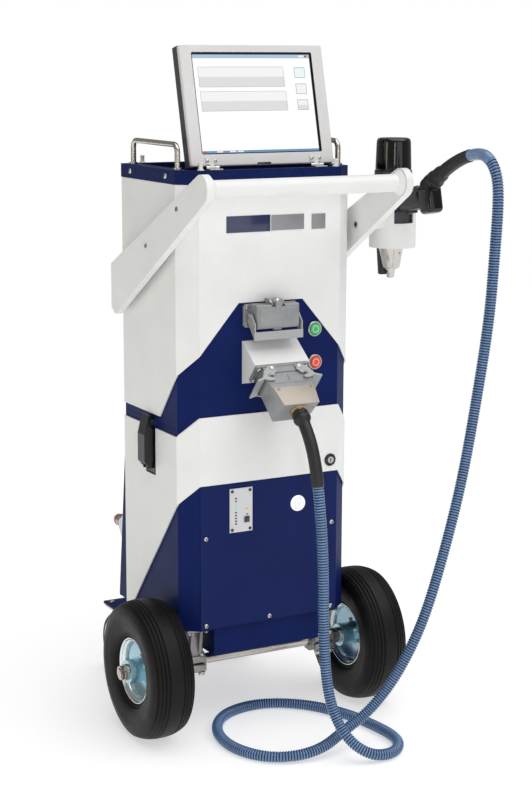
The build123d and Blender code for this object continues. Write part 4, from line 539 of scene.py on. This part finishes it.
add_block(hood, (-44, HOOD_SIDE - 0.3, 41.5), (44, HOOD_SIDE + 1.6, 44.5), bevel=0.7)
for x in (-38, 38):
    for axis in ("-Y", "Y"):
        add_turned(hood, [(2.5, 20), (2.5, 25.6), (2.0, 26.2), (0, 26.2)], aim(x, 0, 27, axis), 20)
hood_piece = piece("plug_hood_casting", hood, cast_grey, "trolley", PLUG, angle=40)
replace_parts(hood_piece, "plug_hood")
plate_nickel = finish("plate_nickel", (0.44, 0.385, 0.335), 0.46, metallic=0.45, grain=0.25, grain_mm=1.4,
                      mottle=0.05, rub=0.06, edge_mm=0.4)
lid = bmesh.new()
for vert in bmesh.ops.create_cube(lid, size=1)["verts"]:
    top = vert.co.z > 0
    vert.co.x = (36 if top else 41.6) * (1 if vert.co.x > 0 else -1)
    vert.co.y = HOOD_SIDE + (3.4 if vert.co.y > 0 else 1.6)
    vert.co.z = 95.6 if top else 54.5
soften(lid, lid.edges[:], 0.7)
for x in (-33, 33):
    add_button_screw(lid, aim(x, HOOD_SIDE + 3.3, 59.5, "Y"), 3.3, 1.6)
piece("plug_cover", lid, [plate_nickel, hole_painted_shade], "trolley", PLUG)
gland = bmesh.new()
add_turned(gland, [(0, 86), (14.6, 86), (15.4, 93), (15.4, 96), (14.6, 97), (13.6, 97.4), (13.6, 100.1),
                   (0, 100.1)], aim(0, 3, 0), 40)
add_button_screw(gland, aim(28, 10, 93.6), 2.6, 1.5)
piece("gland_ring", gland, [brass, hole_painted_shade], "trolley", PLUG)
socket_screws = bmesh.new()
for x, y in FLANGE_SCREWS:
    add_button_screw(socket_screws, aim(x, y, FLANGE_TOP), 4.2, 2.2)
for x in (-28, 28):
    for y, axis in ((-24.8, "-Y"), (24.8, "Y")):
        add_turned(socket_screws, [(4.4, 0), (4.4, 0.8), (3.4, 1.7), (0, 1.9)], aim(x, y, 11, axis), 24)
piece("plug_socket_screws", socket_screws, [zinc, hole_painted_shade], "trolley", PLUG)

# -------------------- hose
# Blue corrugated conduit with the probe's wires, gas tube and light guide. It hangs from the plug,
# makes one loose loop on the floor and rises to the probe, and its first stretch at the probe is a
# smooth shrink sleeve. Black rubber boots take up the bending at both ends.
HOSE_R = 0.0105                                         # metres
ROUTE = (
    (2, -302, 502), (4, -311, 440), (6, -317, 345), (6, -320, 235), (9, -327, 138),
    (19, -344, 76), (38, -370, 36), (70, -390, 15), (112, -390, 11), (146, -362, 11), (160, -318, 11),
    (156, -262, 11), (142, -188, 11), (98, -102, 11), (22, -52, 11), (-66, -68, 11),
    (-122, -138, 11), (-134, -232, 11), (-92, -310, 11), (-10, -332, 16), (68, -304, 38),
    (118, -302, 62), (160, -324, 128), (198, -351, 232), (234, -358, 355), (268, -364, 495),
    (291, -370, 645), (301, -388, 790), (299, -402, 915), (293, -416, 990), (290, -418, 1036),
    (288, -404, 1068), (285, -374, 1085), (282, -342, 1077),
)


def drawn_route(name, points, resolution=12):
    """Points in metres along the smooth line that a route's control points in millimetres give."""
    curve = bpy.data.curves.new(name, "CURVE")
    curve.dimensions = "3D"
    curve.resolution_u = resolution
    spline = curve.splines.new("NURBS")
    spline.points.add(len(points) - 1)
    for point, place in zip(spline.points, points):
        point.co = (*(TROLLEY @ Vector(place)), 1)
    spline.order_u = 3
    spline.use_endpoint_u = True
    line = bpy.data.objects.new(name, curve)
    drawn = [vert.co.copy() for vert in bpy.data.meshes.new_from_object(line).vertices]
    bpy.data.objects.remove(line)
    return drawn


def lay_along(mesh, path):
    """Bends a straight shape, drawn along its Z in metres, on to a path."""
    reach = [0.0]
    for before, after in zip(path, path[1:]):
        reach.append(reach[-1] + (after - before).length)
    last = len(path) - 1
    tangents = [(path[min(i + 1, last)] - path[max(i - 1, 0)]).normalized() for i in range(last + 1)]
    sides = [tangents[0].orthogonal().normalized()]
    for tangent in tangents[1:]:
        sides.append((sides[-1] - tangent * sides[-1].dot(tangent)).normalized())
    for vert in mesh.verts:
        along = min(max(vert.co.z, 0.0), reach[-1])
        low, high = 0, len(reach) - 1
        while high - low > 1:
            middle = (low + high) // 2
            low, high = (middle, high) if reach[middle] <= along else (low, middle)
        share = (along - reach[low]) / max(1e-9, reach[high] - reach[low])
        tangent = tangents[low].lerp(tangents[high], share).normalized()
        side = sides[low].lerp(sides[high], share)
        side = (side - tangent * side.dot(tangent)).normalized()
        place = path[low].lerp(path[high], share)
        vert.co = (place + side * vert.co.x + tangent.cross(side) * vert.co.y
                   + tangent * (vert.co.z - along))


def length_of(path):
    """Length along a row of points."""
    return sum((after - before).length for before, after in zip(path, path[1:]))


hose_blue = finish("hose_blue", (0.098, 0.215, 0.420), 0.17, grain=0.10, grain_mm=2.0, mottle=0.12,
                   mottle_mm=35, rub=0.05, edge_mm=0.3, coat=0.8)
# Dark blue on the corrugations' valleys is painted shade; the ribbed conduit itself is one blue.
hose_painted_shade = finish("hose_painted_shade", (0.008, 0.026, 0.085), 0.35, mottle=0.1, mottle_mm=35, edge_mm=0.3)
hose_cuff = finish("hose_cuff", (0.135, 0.215, 0.36), 0.24, mottle=0.08, mottle_mm=20, coat=0.3,
                   edge_mm=0.3)
hose_path = drawn_route("hose_line", ROUTE, 24)
hose_length = length_of(hose_path)
PITCH, CUFF, VALLEY = 0.0050, 0.055, 0.0019             # metres: ring spacing, smooth end, ring depth
RING = ((0.10, VALLEY), (0.26, 0.0007), (0.50, 0.0), (0.74, 0.0007), (0.90, VALLEY))
outline, z = [(HOSE_R - 0.0016, 0.0)], 0.0
while z + PITCH < hose_length - CUFF:
    outline += [(HOSE_R - depth, z + PITCH * share) for share, depth in RING]
    z += PITCH
z += 0.002
outline += [(HOSE_R, z + (hose_length - z) * step / 20) for step in range(21)]
tube = bmesh.new()
ring_verts = [tube.verts.new((radius, 0, height)) for radius, height in outline]
ring_edges = [tube.edges.new(pair) for pair in zip(ring_verts, ring_verts[1:])]
bmesh.ops.spin(tube, geom=ring_verts + ring_edges, cent=(0, 0, 0), axis=(0, 0, 1), dvec=(0, 0, 0),
               angle=2 * math.pi, steps=16, use_merge=True)
# Faces deep in the valleys take the painted shade, and the smooth end takes the cuff's blue.
for face in tube.faces:
    middle = face.calc_center_median()
    depth = HOSE_R - math.hypot(middle.x, middle.y)
    face.material_index = 2 if middle.z > z else 1 if depth > 0.00135 else 0
bmesh.ops.holes_fill(tube, edges=[edge for edge in tube.edges if edge.is_boundary], sides=0)
bmesh.ops.recalc_face_normals(tube, faces=tube.faces[:])
lay_along(tube, hose_path)
hose = piece("corrugated_hose", tube, [hose_blue, hose_painted_shade, hose_cuff], None, Matrix(),
             angle=70)
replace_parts(hose, "hose")
boot_black = finish("boot_black", (0.008, 0.0075, 0.0075), 0.48, grain=0.3, grain_mm=1.4, mottle=0.15,
                    rub=0.08, edge_mm=0.5)


def sleeve_along(name, points, outline, material, body):
    """Turned rubber sleeve bent along a short route; its outline is (radius, distance along) in mm."""
    path = drawn_route(name + "_line", points)
    mesh = bmesh.new()
    add_turned(mesh, outline, steps=32)
    bmesh.ops.scale(mesh, verts=mesh.verts[:], vec=(0.001, 0.001, 0.001))
    lay_along(mesh, path)
    bmesh.ops.recalc_face_normals(mesh, faces=mesh.faces[:])
    return piece(name, mesh, material, body, Matrix(), angle=50)


TO_MM = TROLLEY.inverted()
gland_end = TO_MM @ (PLUG @ Vector((0, 3, 100.6)))
hose_top = Vector(ROUTE[0])
fall = (Vector(ROUTE[1]) - hose_top).normalized()
boot_route = (gland_end, gland_end + OUT * 40, hose_top - fall * 40, hose_top + fall * 2)
boot_length = 1000 * length_of(drawn_route("boot_measure", boot_route))
boot_outline = [(0, -1), (10.5, -1), (14.2, 0.6), (15.4, 2.2), (15.4, 5.6), (14.0, 7.4), (14.6, 8.8),
                (16.2, 11.4), (16.2, 15), (14.6, 19), (12.2, 22.4), (11.3, 25)]
middle_part = [(11.3, 30 + 6 * place) for place in range(int(boot_length) // 6 - 6)]
middle_part += [(11.3, 60), (11.5, boot_length - 20), (11.4, boot_length - 3), (10.9, boot_length - 0.6)]
boot_outline += sorted(middle_part, key=lambda spot: spot[1]) + [(0, boot_length)]
plug_sleeve = sleeve_along("plug_boot_rubber", boot_route, boot_outline, boot_black, "trolley")
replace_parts(plug_sleeve, "plug_boot")
block_end = TO_MM @ (GRIP @ Vector((0, 17, 90)))
hose_end = Vector(ROUTE[-1])
rise = (Vector(ROUTE[-2]) - hose_end).normalized()
probe_route = (block_end + Vector((0, 3, -5)), block_end + Vector((0, -22, 14)), hose_end - rise * 30,
               hose_end + rise * 2)
sleeve_length = 1000 * length_of(drawn_route("sleeve_measure", probe_route))
sleeve_outline = [(0, -0.5), (15.5, -0.5), (17.6, 1), (17.6, 17), (16.0, 18.6), (17.0, 20), (17.0, 31),
                  (14.6, 33), (15.0, 34.5), (14.6, 53), (12.6, 55)]
sleeve_outline += [(12.4 - 0.012 * place, 55 + place) for place in range(6, int(sleeve_length) - 60, 6)]
sleeve_outline += [(11.7, sleeve_length - 1), (0, sleeve_length)]
probe_sleeve = sleeve_along("probe_sleeve_rubber", probe_route, sleeve_outline, boot_black, "probe")
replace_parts(probe_sleeve, "probe_sleeve")
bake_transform(hose)

# -------------------- controls
# Illuminated 22 mm push buttons with satin bezels: green starts and red stops, a white one switches the
# power. The main switch is a key lock with a nickel face.
bezel_silver = finish("bezel_silver", (0.50, 0.50, 0.49), 0.24, metallic=1.0, grain=0.15, grain_mm=1.0,
                      mottle=0.06, mottle_mm=8, rub=0.08, edge_mm=0.3)
bezel_pale = finish("bezel_pale", (0.50, 0.56, 0.52), 0.35, mottle=0.05, mottle_mm=6, edge_mm=0.3)
button_green = finish("button_green", (0.045, 0.42, 0.085), 0.22, mottle=0.12, mottle_mm=9, coat=0.5,
                      rub=0.05, edge_mm=0.6)
button_red = finish("button_red", (0.78, 0.045, 0.022), 0.22, mottle=0.12, mottle_mm=9, coat=0.5,
                    rub=0.05, edge_mm=0.6)
button_white = lit("button_white", (0.84, 0.88, 0.92), 1.0, 0.25)
ring_white = lit("ring_white", (1.0, 1.0, 1.0), 1.0, 0.25)
ring_mint = lit("ring_mint", (0.34, 0.80, 0.62), 0.75)
ring_coral = lit("ring_coral", (0.95, 0.42, 0.26), 0.8)
START, STOP = aim(93, UPPER_FACE, 753, "-Y"), aim(94, UPPER_FACE, 691, "-Y")
POWER, KEY = aim(59, -129.4, 425, "-Y"), aim(128, -130.3, 501, "-Y")
bezels = bmesh.new()
for at, outer, inner in ((START, 0, 1), (STOP, 0, 1), (POWER, 3, 3)):
    add_turned(bezels, [(11.7, 0), (15, 0), (15, 1.6), (14.5, 3.2), (13.6, 4.0), (12.9, 4.0), (12.9, 2.8),
                        (11.7, 2.8), (11.7, 0)], at, 48, outer)
    add_turned(bezels, [(11.7, 2.4), (12.85, 2.4), (12.85, 4.3), (12.3, 4.7), (11.7, 4.3), (11.7, 2.4)],
               at, 48, inner)
add_turned(bezels, [(6.6, 0), (12, 0), (12, 1.2), (11, 2.3), (8.6, 2.5), (8.2, 1.7), (7.2, 1.7),
                    (6.6, 2.3), (6.6, 0)], KEY, 48, 2)
add_turned(bezels, [(6.6, 0), (10, 0), (10, -16.5), (6.6, -16.5), (6.6, 0)], KEY, 32)
bezel_piece = piece("button_bezels", bezels, [bezel_silver, bezel_pale, gloss_black, ring_white],
                    "trolley")
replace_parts(bezel_piece, "control_rings")
for body, at, colours, slot in (("start", START, [button_green, ring_mint], "button_green"),
                                ("stop", STOP, [button_red, ring_coral], "button_red"),
                                ("power", POWER, [button_white, ring_white], "button_white")):
    button = bmesh.new()
    add_turned(button, [(0, -8), (11, -8), (11, 5.6), (10.6, 6.5), (9.7, 6.95), (8.9, 6.9), (8.4, 6.45),
                        (5, 6.15), (0, 6.05)], at, 48)
    add_turned(button, [(5.0, 5.8), (7.2, 5.8), (7.2, 6.75), (5.0, 6.65), (5.0, 5.8)], at, 48, 1)
    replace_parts(piece(body + "_cap", button, colours, body, angle=50), body + "_button")
dress(bezel_silver, "key_barrel")

# -------------------- charge display
# Satin light plate with four black screws, a column of ten lamps for the battery's charge, one amber
# lamp over a small sensor and a black test button.
plate_satin = finish("plate_satin", (0.66, 0.66, 0.67), 0.36, metallic=0.15, grain=0.12, grain_mm=0.8,
                     mottle=0.03, rub=0.05, edge_mm=0.5)
dress(plate_satin, "charge_plate")
lamp_off = finish("lamp_off", (0.012, 0.013, 0.014), 0.2, coat=0.6, mottle=0.1, mottle_mm=4, edge_mm=0.2)
lamp_deep = finish("lamp_deep", (0.005, 0.10, 0.030), 0.2, coat=0.6, mottle=0.1, mottle_mm=4, edge_mm=0.2)
lamp_mint = lit("lamp_mint", (0.22, 0.72, 0.46), 1.0)
lamp_amber = lit("lamp_amber", (0.90, 0.42, 0.08), 1.0)
PLATE_FACE = -131.3
lamps = bmesh.new()
for step, colour in enumerate((0, 0, 0, 1, 1, 2, 2, 2, 1, 0)):
    z = 401 + step * 5.37
    add_block(lamps, (-74.4, PLATE_FACE - 0.6, z - 1.25), (-70.2, PLATE_FACE, z + 1.25), bevel=0.3,
              index=colour)
add_block(lamps, (-51.6, PLATE_FACE - 0.6, 426.4), (-46.6, PLATE_FACE, 429.8), bevel=0.4, index=3)
add_turned(lamps, [(0, 0), (1.5, 0), (1.5, 0.4), (1.1, 0.6), (0, 0.6)], aim(-49.3, PLATE_FACE, 417.4, "-Y"),
           16)
for x in (-80, -43):
    for z in (390, 463):
        add_turned(lamps, [(3.1, 0), (3.1, 0.7), (2.5, 1.6), (1.5, 2.1), (0, 2.1)],
                   aim(x, PLATE_FACE, z, "-Y"), 20)
piece("charge_lamps", lamps, [lamp_off, lamp_deep, lamp_mint, lamp_amber], "trolley")
test_key = bmesh.new()
add_block(test_key, (-54, -133.0, 404), (-46, -130.0, 412))
add_block(test_key, (-55.3, -133.4, 402.3), (-44.7, -132.0, 413.7), bevel=0.6)
add_block(test_key, (-52.6, -133.55, 405.4), (-47.4, -133.2, 410.6), bevel=0.15)
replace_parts(piece("test_key", test_key, lamp_off, "charge_check"), "charge_button")

# -------------------- side latches
# Over-centre draw latches join the two halves of the cabinet: a black-coated pressed handle on a pin,
# a base bracket and a keeper.
latch_black = finish("latch_black", (0.007, 0.007, 0.008), 0.34, grain=0.3, grain_mm=1.6, mottle=0.10,
                     rub=0.08, edge_mm=1.0)
dress(latch_black, "latch_lever_left", "latch_lever_right", "latch_bases")
LATCH_Y = 12
pins = bmesh.new()
for side, out in ((-1, "-X"), (1, "X")):
    for sign, axis in ((-1, "-Y"), (1, "Y")):
        add_turned(pins, [(0, 0), (4.6, 0), (4.6, 0.9), (3.4, 1.8), (0, 2.1)],
                   aim(side * 184.3, LATCH_Y + sign * 14.6, 498, axis), 24)
    add_turned(pins, [(0, 0), (3.4, 0), (3.4, 0.8), (2.2, 1.6), (0, 1.8)],
               aim(side * 177.2, LATCH_Y, 536, out), 20)
piece("latch_pins", pins, latch_black, "trolley")

# -------------------- axle and brackets
# Bright stainless through-axle in two cast clamp brackets under the cabinet, each split across the axle
# and closed by four hexagon bolts.
axle_bright = finish("axle_bright", (0.50, 0.46, 0.43), 0.22, metallic=1.0, grain=0.2, grain_mm=1.0,
                     stretch=(0.1, 1, 1), mottle=0.04, mottle_mm=16, rub=0.06, edge_mm=0.4)
dress(axle_bright, "axle")
bracket_cast = finish("bracket_cast", (0.29, 0.28, 0.27), 0.40, metallic=0.85, grain=0.7, grain_mm=2.2,
                      mottle=0.12, mottle_mm=14, rub=0.10, edge_mm=1.2)
AXLE_Y, AXLE_Z = -74, 130
brackets = bmesh.new()
bolts = bmesh.new()
for side in (-1, 1):
    near, far = sorted((side * 115, side * 163))
    add_block(brackets, (near, AXLE_Y - 35, 194.7), (far, AXLE_Y + 35, 202.6), bevel=2.4, segments=3)
    web = add_block(brackets, (near + 7, AXLE_Y - 22, 144), (far - 7, AXLE_Y + 22, 195.5))
    for vert in web:
        if vert.co.z > 180:
            vert.co.y += 6 if vert.co.y < AXLE_Y else -6
    soften(brackets, edges_of(web), 3, 3)
    for x in (near + 12, far - 18):
        for vert in add_block(brackets, (x, AXLE_Y - 30, 146), (x + 6, AXLE_Y + 30, 195.5)):
            if vert.co.z < 160:
                vert.co.y += 8 if vert.co.y < AXLE_Y else -8
    for low, high in ((131.4, 146), (113.5, 128.6)):
        add_block(brackets, (near + 2, AXLE_Y - 26.8, low), (far - 2, AXLE_Y + 26.8, high), bevel=4,
                  segments=3)
    for x in (near + 4, far - 4):
        add_turned(brackets, [(10.05, -4), (19, -4), (20.5, -2.5), (20.5, 2.5), (19, 4), (10.05, 4),
                              (10.05, -4)], aim(x, AXLE_Y, AXLE_Z, "X"), 40)
    for x in (side * 126, side * 152):
        for y in (-94, -54):
            add_bolt(bolts, aim(x, y, 113.4, "-Z"), 7.2, 6.5, 1.2, 6.4)
            add_bolt(bolts, aim(x, y, 145.6), 7.0, 6.3, 1.2, 4.8)
    for x in (side * 121, side * 157):
        for y in (-104, -44):
            add_turned(bolts, [(0, 0), (4.6, 0), (4.6, 2.2), (3.4, 3.2), (0, 3.2)],
                       aim(x, y, 194.9, "-Z"), 20)
bracket_piece = piece("clamp_brackets", brackets, bracket_cast, "trolley", angle=40)
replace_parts(bracket_piece, "axle_clamps")
piece("clamp_bolts", bolts, zinc, "trolley", angle=25, bevel_mm=0.4)

# -------------------- wheels
# Pneumatic 260 x 85 tyres, ribbed at the shoulders, on bright zinc-plated rims. Each rim is two pressed
# dishes bolted back to back round a hub tube, and turns on the axle between a collar and a cap nut.
tyre_rubber = finish("tyre_rubber", (0.0042, 0.0036, 0.0036), 0.46, grain=0.4, grain_mm=2.2, mottle=0.18,
                     mottle_mm=24, rub=0.12, edge_mm=0.9, specular=0.20)
rim_zinc = finish("rim_zinc", (0.74, 0.81, 0.82), 0.22, metallic=1.0, grain=0.12, grain_mm=2.0,
                  mottle=0.04, mottle_mm=40, rub=0.05, edge_mm=0.8)
WHEEL_X = 226.7
HALF = 42.5
GROOVES = (-0.82, -0.66, -0.50, -0.34, 0.34, 0.50, 0.66, 0.82)
TREAD = []
for step in range(-52, 53):
    across = step / 60
    crown = 130 - 7.5 * abs(across) ** 2.6 / 0.65
    dip = max(0.0, 1 - min(abs(across - groove) for groove in GROOVES) / 0.05)
    TREAD.append((across * HALF, crown - 2.1 * dip * dip * (3 - 2 * dip)))
WALL = [(0.905, 119.2), (0.93, 117.0), (0.935, 115.6), (0.962, 113.6), (0.985, 108), (0.99, 106.6),
        (1.0, 104), (1.0, 97), (0.99, 95.8), (0.985, 90), (0.965, 86), (0.93, 79), (0.86, 71.5),
        (0.79, 67.5), (0.755, 67), (0.755, 65), (0.70, 63.5), (0.645, 63.4), (0.645, 57.6), (0.5, 55.3)]
SECTION = [(radius, across) for across, radius in TREAD]
SECTION += [(radius, HALF * share) for share, radius in WALL]
SECTION += [(radius, -HALF * share) for share, radius in reversed(WALL)] + SECTION[:1]
for name, side in SIDES:
    rubber = bmesh.new()
    add_turned(rubber, SECTION, aim(side * WHEEL_X, AXLE_Y, AXLE_Z, "X"), 96)
    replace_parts(piece("tyre_" + name + "_ribbed", rubber, tyre_rubber, "wheel_" + name,
                      angle=42), "tyre_" + name)
# The dish and hub are the same zinc as the band, painted darker and bluer: painted shade in the wheel's
# hollow.
rim_dish_painted_shade = finish("rim_dish_painted_shade", (0.40, 0.59, 0.68), 0.26, metallic=1.0, grain=0.12, grain_mm=2.0,
                  mottle=0.05, mottle_mm=40, rub=0.05, edge_mm=0.8)
HALF_RIM = [(52.2, 14), (52.4, 21), (53.4, 24.4), (55.0, 26.0), (57.2, 26.8), (58.6, 28.0), (59.2, 29.8),
            (60.2, 30.6), (61.2, 30.6), (61.9, 29.9), (61.6, 28.6), (60.2, 27.6), (58.6, 25.6),
            (56.2, 24.6), (54.7, 21.25)]
HALF_DISH = [(10.3, 43.2), (21, 43.2), (22, 43), (22, 4), (32, 4), (43, 9.5), (47.5, 12.2), (50.6, 14.4),
             (52.1, 15), (52.5, 16)]
RIM_BAND = HALF_RIM + [(r, -z) for r, z in reversed(HALF_RIM)] + HALF_RIM[:1]
DISH = [(r, -z) for r, z in reversed(HALF_DISH)] + HALF_DISH + [(52.5, -16)]
for name, side in SIDES:
    wheel = bmesh.new()
    at = aim(side * WHEEL_X, AXLE_Y, AXLE_Z, "X")
    add_turned(wheel, RIM_BAND, at, 72)
    add_turned(wheel, DISH, at, 72, index=1)
    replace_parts(piece("rim_" + name + "_pressed", wheel, [rim_zinc, rim_dish_painted_shade], "wheel_" + name,
                      angle=42), "rim_" + name)
for name, side in SIDES:
    studs = bmesh.new()
    at = aim(side * WHEEL_X, AXLE_Y, AXLE_Z, "X" if side > 0 else "-X")
    for step in range(4):
        turn = at @ Matrix.Rotation(math.radians(45 + 90 * step), 4, "Z")
        for face, sign in ((3.8, 1), (-3.8, -1)):
            spot = turn @ Matrix.Translation((26, 0, face)) @ (Matrix() if sign > 0 else AXES["-Z"])
            add_bolt(studs, spot, 5.2, 4.6, 1.0, 4.4, 20, thick=1.0)
    add_turned(studs, [(2.2, 11.5), (2.2, 22), (1.6, 22.6), (0, 22.6), (0, 11.5), (2.2, 11.5)],
               at @ Matrix.Translation((0, 45, 0)), 16)
    piece("rim_" + name + "_bolts", studs, zinc, "wheel_" + name, angle=25, bevel_mm=0.3)
caps = bmesh.new()
for side, axis in ((-1, "-X"), (1, "X")):
    add_turned(caps, [(8.8, 0), (9.6, 0.6), (9.6, 1.4), (8.4, 2.2), (0, 2.6)],
               aim(side * 284, AXLE_Y, AXLE_Z, axis), 32)
piece("axle_caps", caps, axle_bright, "trolley")

# -------------------- casters
# Swivel casters at the back: pressed zinc-plated forks on double ball races, 125 mm wheels with black
# rubber on a plastic centre, and a bright cover ring on each side.
dress(zinc, "caster_plates", "caster_fork_left", "caster_fork_right")
caster_black = finish("caster_black", (0.018, 0.018, 0.019), 0.55, grain=0.35, grain_mm=1.8, mottle=0.15,
                      mottle_mm=14, rub=0.08, edge_mm=0.8)
centre_teal = finish("centre_teal", (0.05, 0.16, 0.18), 0.4, grain=0.2, grain_mm=1.4, mottle=0.08,
                     edge_mm=0.6)
ring_bright = finish("ring_bright", (0.62, 0.62, 0.60), 0.22, metallic=1.0, mottle=0.08, mottle_mm=12,
                     rub=0.06, edge_mm=0.3)
dress(caster_black, "caster_wheel_left", "caster_wheel_right")
CASTER_X, CASTER_Y, CASTER_Z = 132, 264, 62.5
for name, side in SIDES:
    faces = bmesh.new()
    nuts = bmesh.new()
    for axis in ("X", "-X"):
        at = aim(side * CASTER_X, CASTER_Y, CASTER_Z, axis)
        add_turned(faces, [(44.6, 11), (49.5, 16.05), (49.5, 16.5), (47, 16.9), (43.6, 14.5), (43.6, 11),
                           (44.6, 11)], at, 48)
        add_turned(faces, [(13.5, 6.6), (43.4, 6.6), (43.4, 10), (38, 8.4), (20, 8.2), (15.5, 12),
                           (13.5, 12), (13.5, 6.6)], at, 48, index=1)
        add_bolt(nuts, at, 9.4, 8.4, 22.2, 26.5, seat=21.1, thick=1.1)
    piece("caster_" + name + "_trim", faces, [ring_bright, centre_teal], "roller_" + name)
    piece("caster_" + name + "_nuts", nuts, zinc, "swivel_" + name, angle=25, bevel_mm=0.3)

# -------------------- gas inlet
# Quick coupling for the argon line, pointing back from a small bracket on the cooling cover, with an
# orange locking ring.
coupling_steel = finish("coupling_steel", (0.55, 0.55, 0.55), 0.28, metallic=1.0, grain=0.1, mottle=0.08,
                        mottle_mm=8, rub=0.08, edge_mm=0.4)
dress(coupling_steel, "gas_coupling")
ring_orange = finish("ring_orange", (0.62, 0.12, 0.012), 0.35, mottle=0.06, edge_mm=0.4)
mouth = TO_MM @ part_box("gas_coupling")[1]
orange = bmesh.new()
add_turned(orange, [(11.05, 0), (11.9, 0.4), (11.9, 3.4), (11.05, 3.8), (11.05, 0)],
           aim(-154, mouth.y - 12, 338, "Y"), 40)
piece("coupling_ring", orange, ring_orange, "trolley")

# -------------------- inner units
# Light-tight optics casting, computer, spark source and two batteries. They stand inside the cabinet
# and show only through the louvres.
chamber_cast = finish("chamber_cast", (0.10, 0.10, 0.11), 0.5, metallic=0.3, grain=0.6, grain_mm=2.4,
                      mottle=0.10, rub=0.08, edge_mm=1.2)
unit_steel = finish("unit_steel", (0.42, 0.42, 0.41), 0.4, metallic=0.9, grain=0.2, mottle=0.08,
                    rub=0.08, edge_mm=0.8)
battery_grey = finish("battery_grey", (0.08, 0.08, 0.085), 0.5, grain=0.3, mottle=0.08, rub=0.06,
                      edge_mm=1.2)
dress(chamber_cast, "optic_chamber")
dress(unit_steel, "computer_unit", "spark_source")
dress(battery_grey, "battery_pack")

# -------------------- floor, light and camera
# Seamless white floor that glows a little, so that shadows on it stay faint, with broad soft lights. A
# long lens looks from the front left, a little above the push bar.
floor_white = material_of("floor_white", {
    "Base Color": (0.55, 0.55, 0.55, 1), "Roughness": 0.55, "Emission Color": (1, 1, 1, 1),
    "Emission Strength": 0.54})[0]
sweep = bmesh.new()
bmesh.ops.create_grid(sweep, x_segments=1, y_segments=1, size=6)
ground = bpy.data.meshes.new("floor")
sweep.to_mesh(ground)
sweep.free()
ground.materials.append(floor_white)
floor = bpy.data.objects.new("floor", ground)
in_scene.link(floor)
floor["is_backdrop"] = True

world = bpy.data.worlds.new("studio")
bpy.context.scene.world = world
world.use_nodes = True
sky_nodes, sky_links = world.node_tree.nodes, world.node_tree.links
sky_nodes["Background"].inputs["Color"].default_value = (1.0, 1.0, 1.0, 1)
ray = sky_nodes.new("ShaderNodeLightPath")
power = sky_nodes.new("ShaderNodeMapRange")
power.inputs["To Min"].default_value = 0.26             # as a light; the camera sees it pure white
power.inputs["To Max"].default_value = 1.0
sky_links.new(ray.outputs["Is Camera Ray"], power.inputs["Value"])
sky_links.new(power.outputs["Result"], sky_nodes["Background"].inputs["Strength"])


def soft_light(name, place, target, size, power, colour=(1, 1, 1)):
    """Rectangular lamp at a place, aimed at a target."""
    light = bpy.data.lights.new(name, "AREA")
    light.shape = "RECTANGLE"
    light.size, light.size_y = size
    light.energy = power
    light.color = colour
    lamp = bpy.data.objects.new(name, light)
    lamp.location = Vector(place)
    lamp.rotation_euler = (Vector(target) - Vector(place)).to_track_quat("-Z", "Y").to_euler()
    in_scene.link(lamp)


soft_light("front_box", (0.7, -3.5, 1.3), (0, 0, 0.6), (2.2, 2.2), 15)
soft_light("front_strip", (-1.25, -3.4, 1.3), (0.1, 0, 0.7), (0.22, 1.7), 9)
soft_light("left_box", (-3.4, -0.8, 1.5), (0, 0, 0.6), (0.8, 1.8), 12, (1.0, 0.95, 0.78))
ceiling = bpy.data.lights.new("ceiling", "SUN")
ceiling.energy = 2.25
ceiling.angle = math.radians(75)
ceiling_lamp = bpy.data.objects.new("ceiling", ceiling)
ceiling_lamp.rotation_euler = Vector((-0.22, 0.30, -1)).to_track_quat("-Z", "Y").to_euler()
in_scene.link(ceiling_lamp)

lens = bpy.data.cameras.new("camera")
lens.lens = 80.865
lens.sensor_width = 36
lens.sensor_fit = "AUTO"
camera = bpy.data.objects.new("camera", lens)
camera.location = TROLLEY @ Vector((-1530.15, -2927.76, 1255.36))
camera.rotation_euler = [math.radians(a) for a in (79.0663, -0.1817, -28.4897)]
in_scene.link(camera)
bpy.context.scene.camera = camera
bpy.context.scene.view_settings.view_transform = "Standard"

low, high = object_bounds()
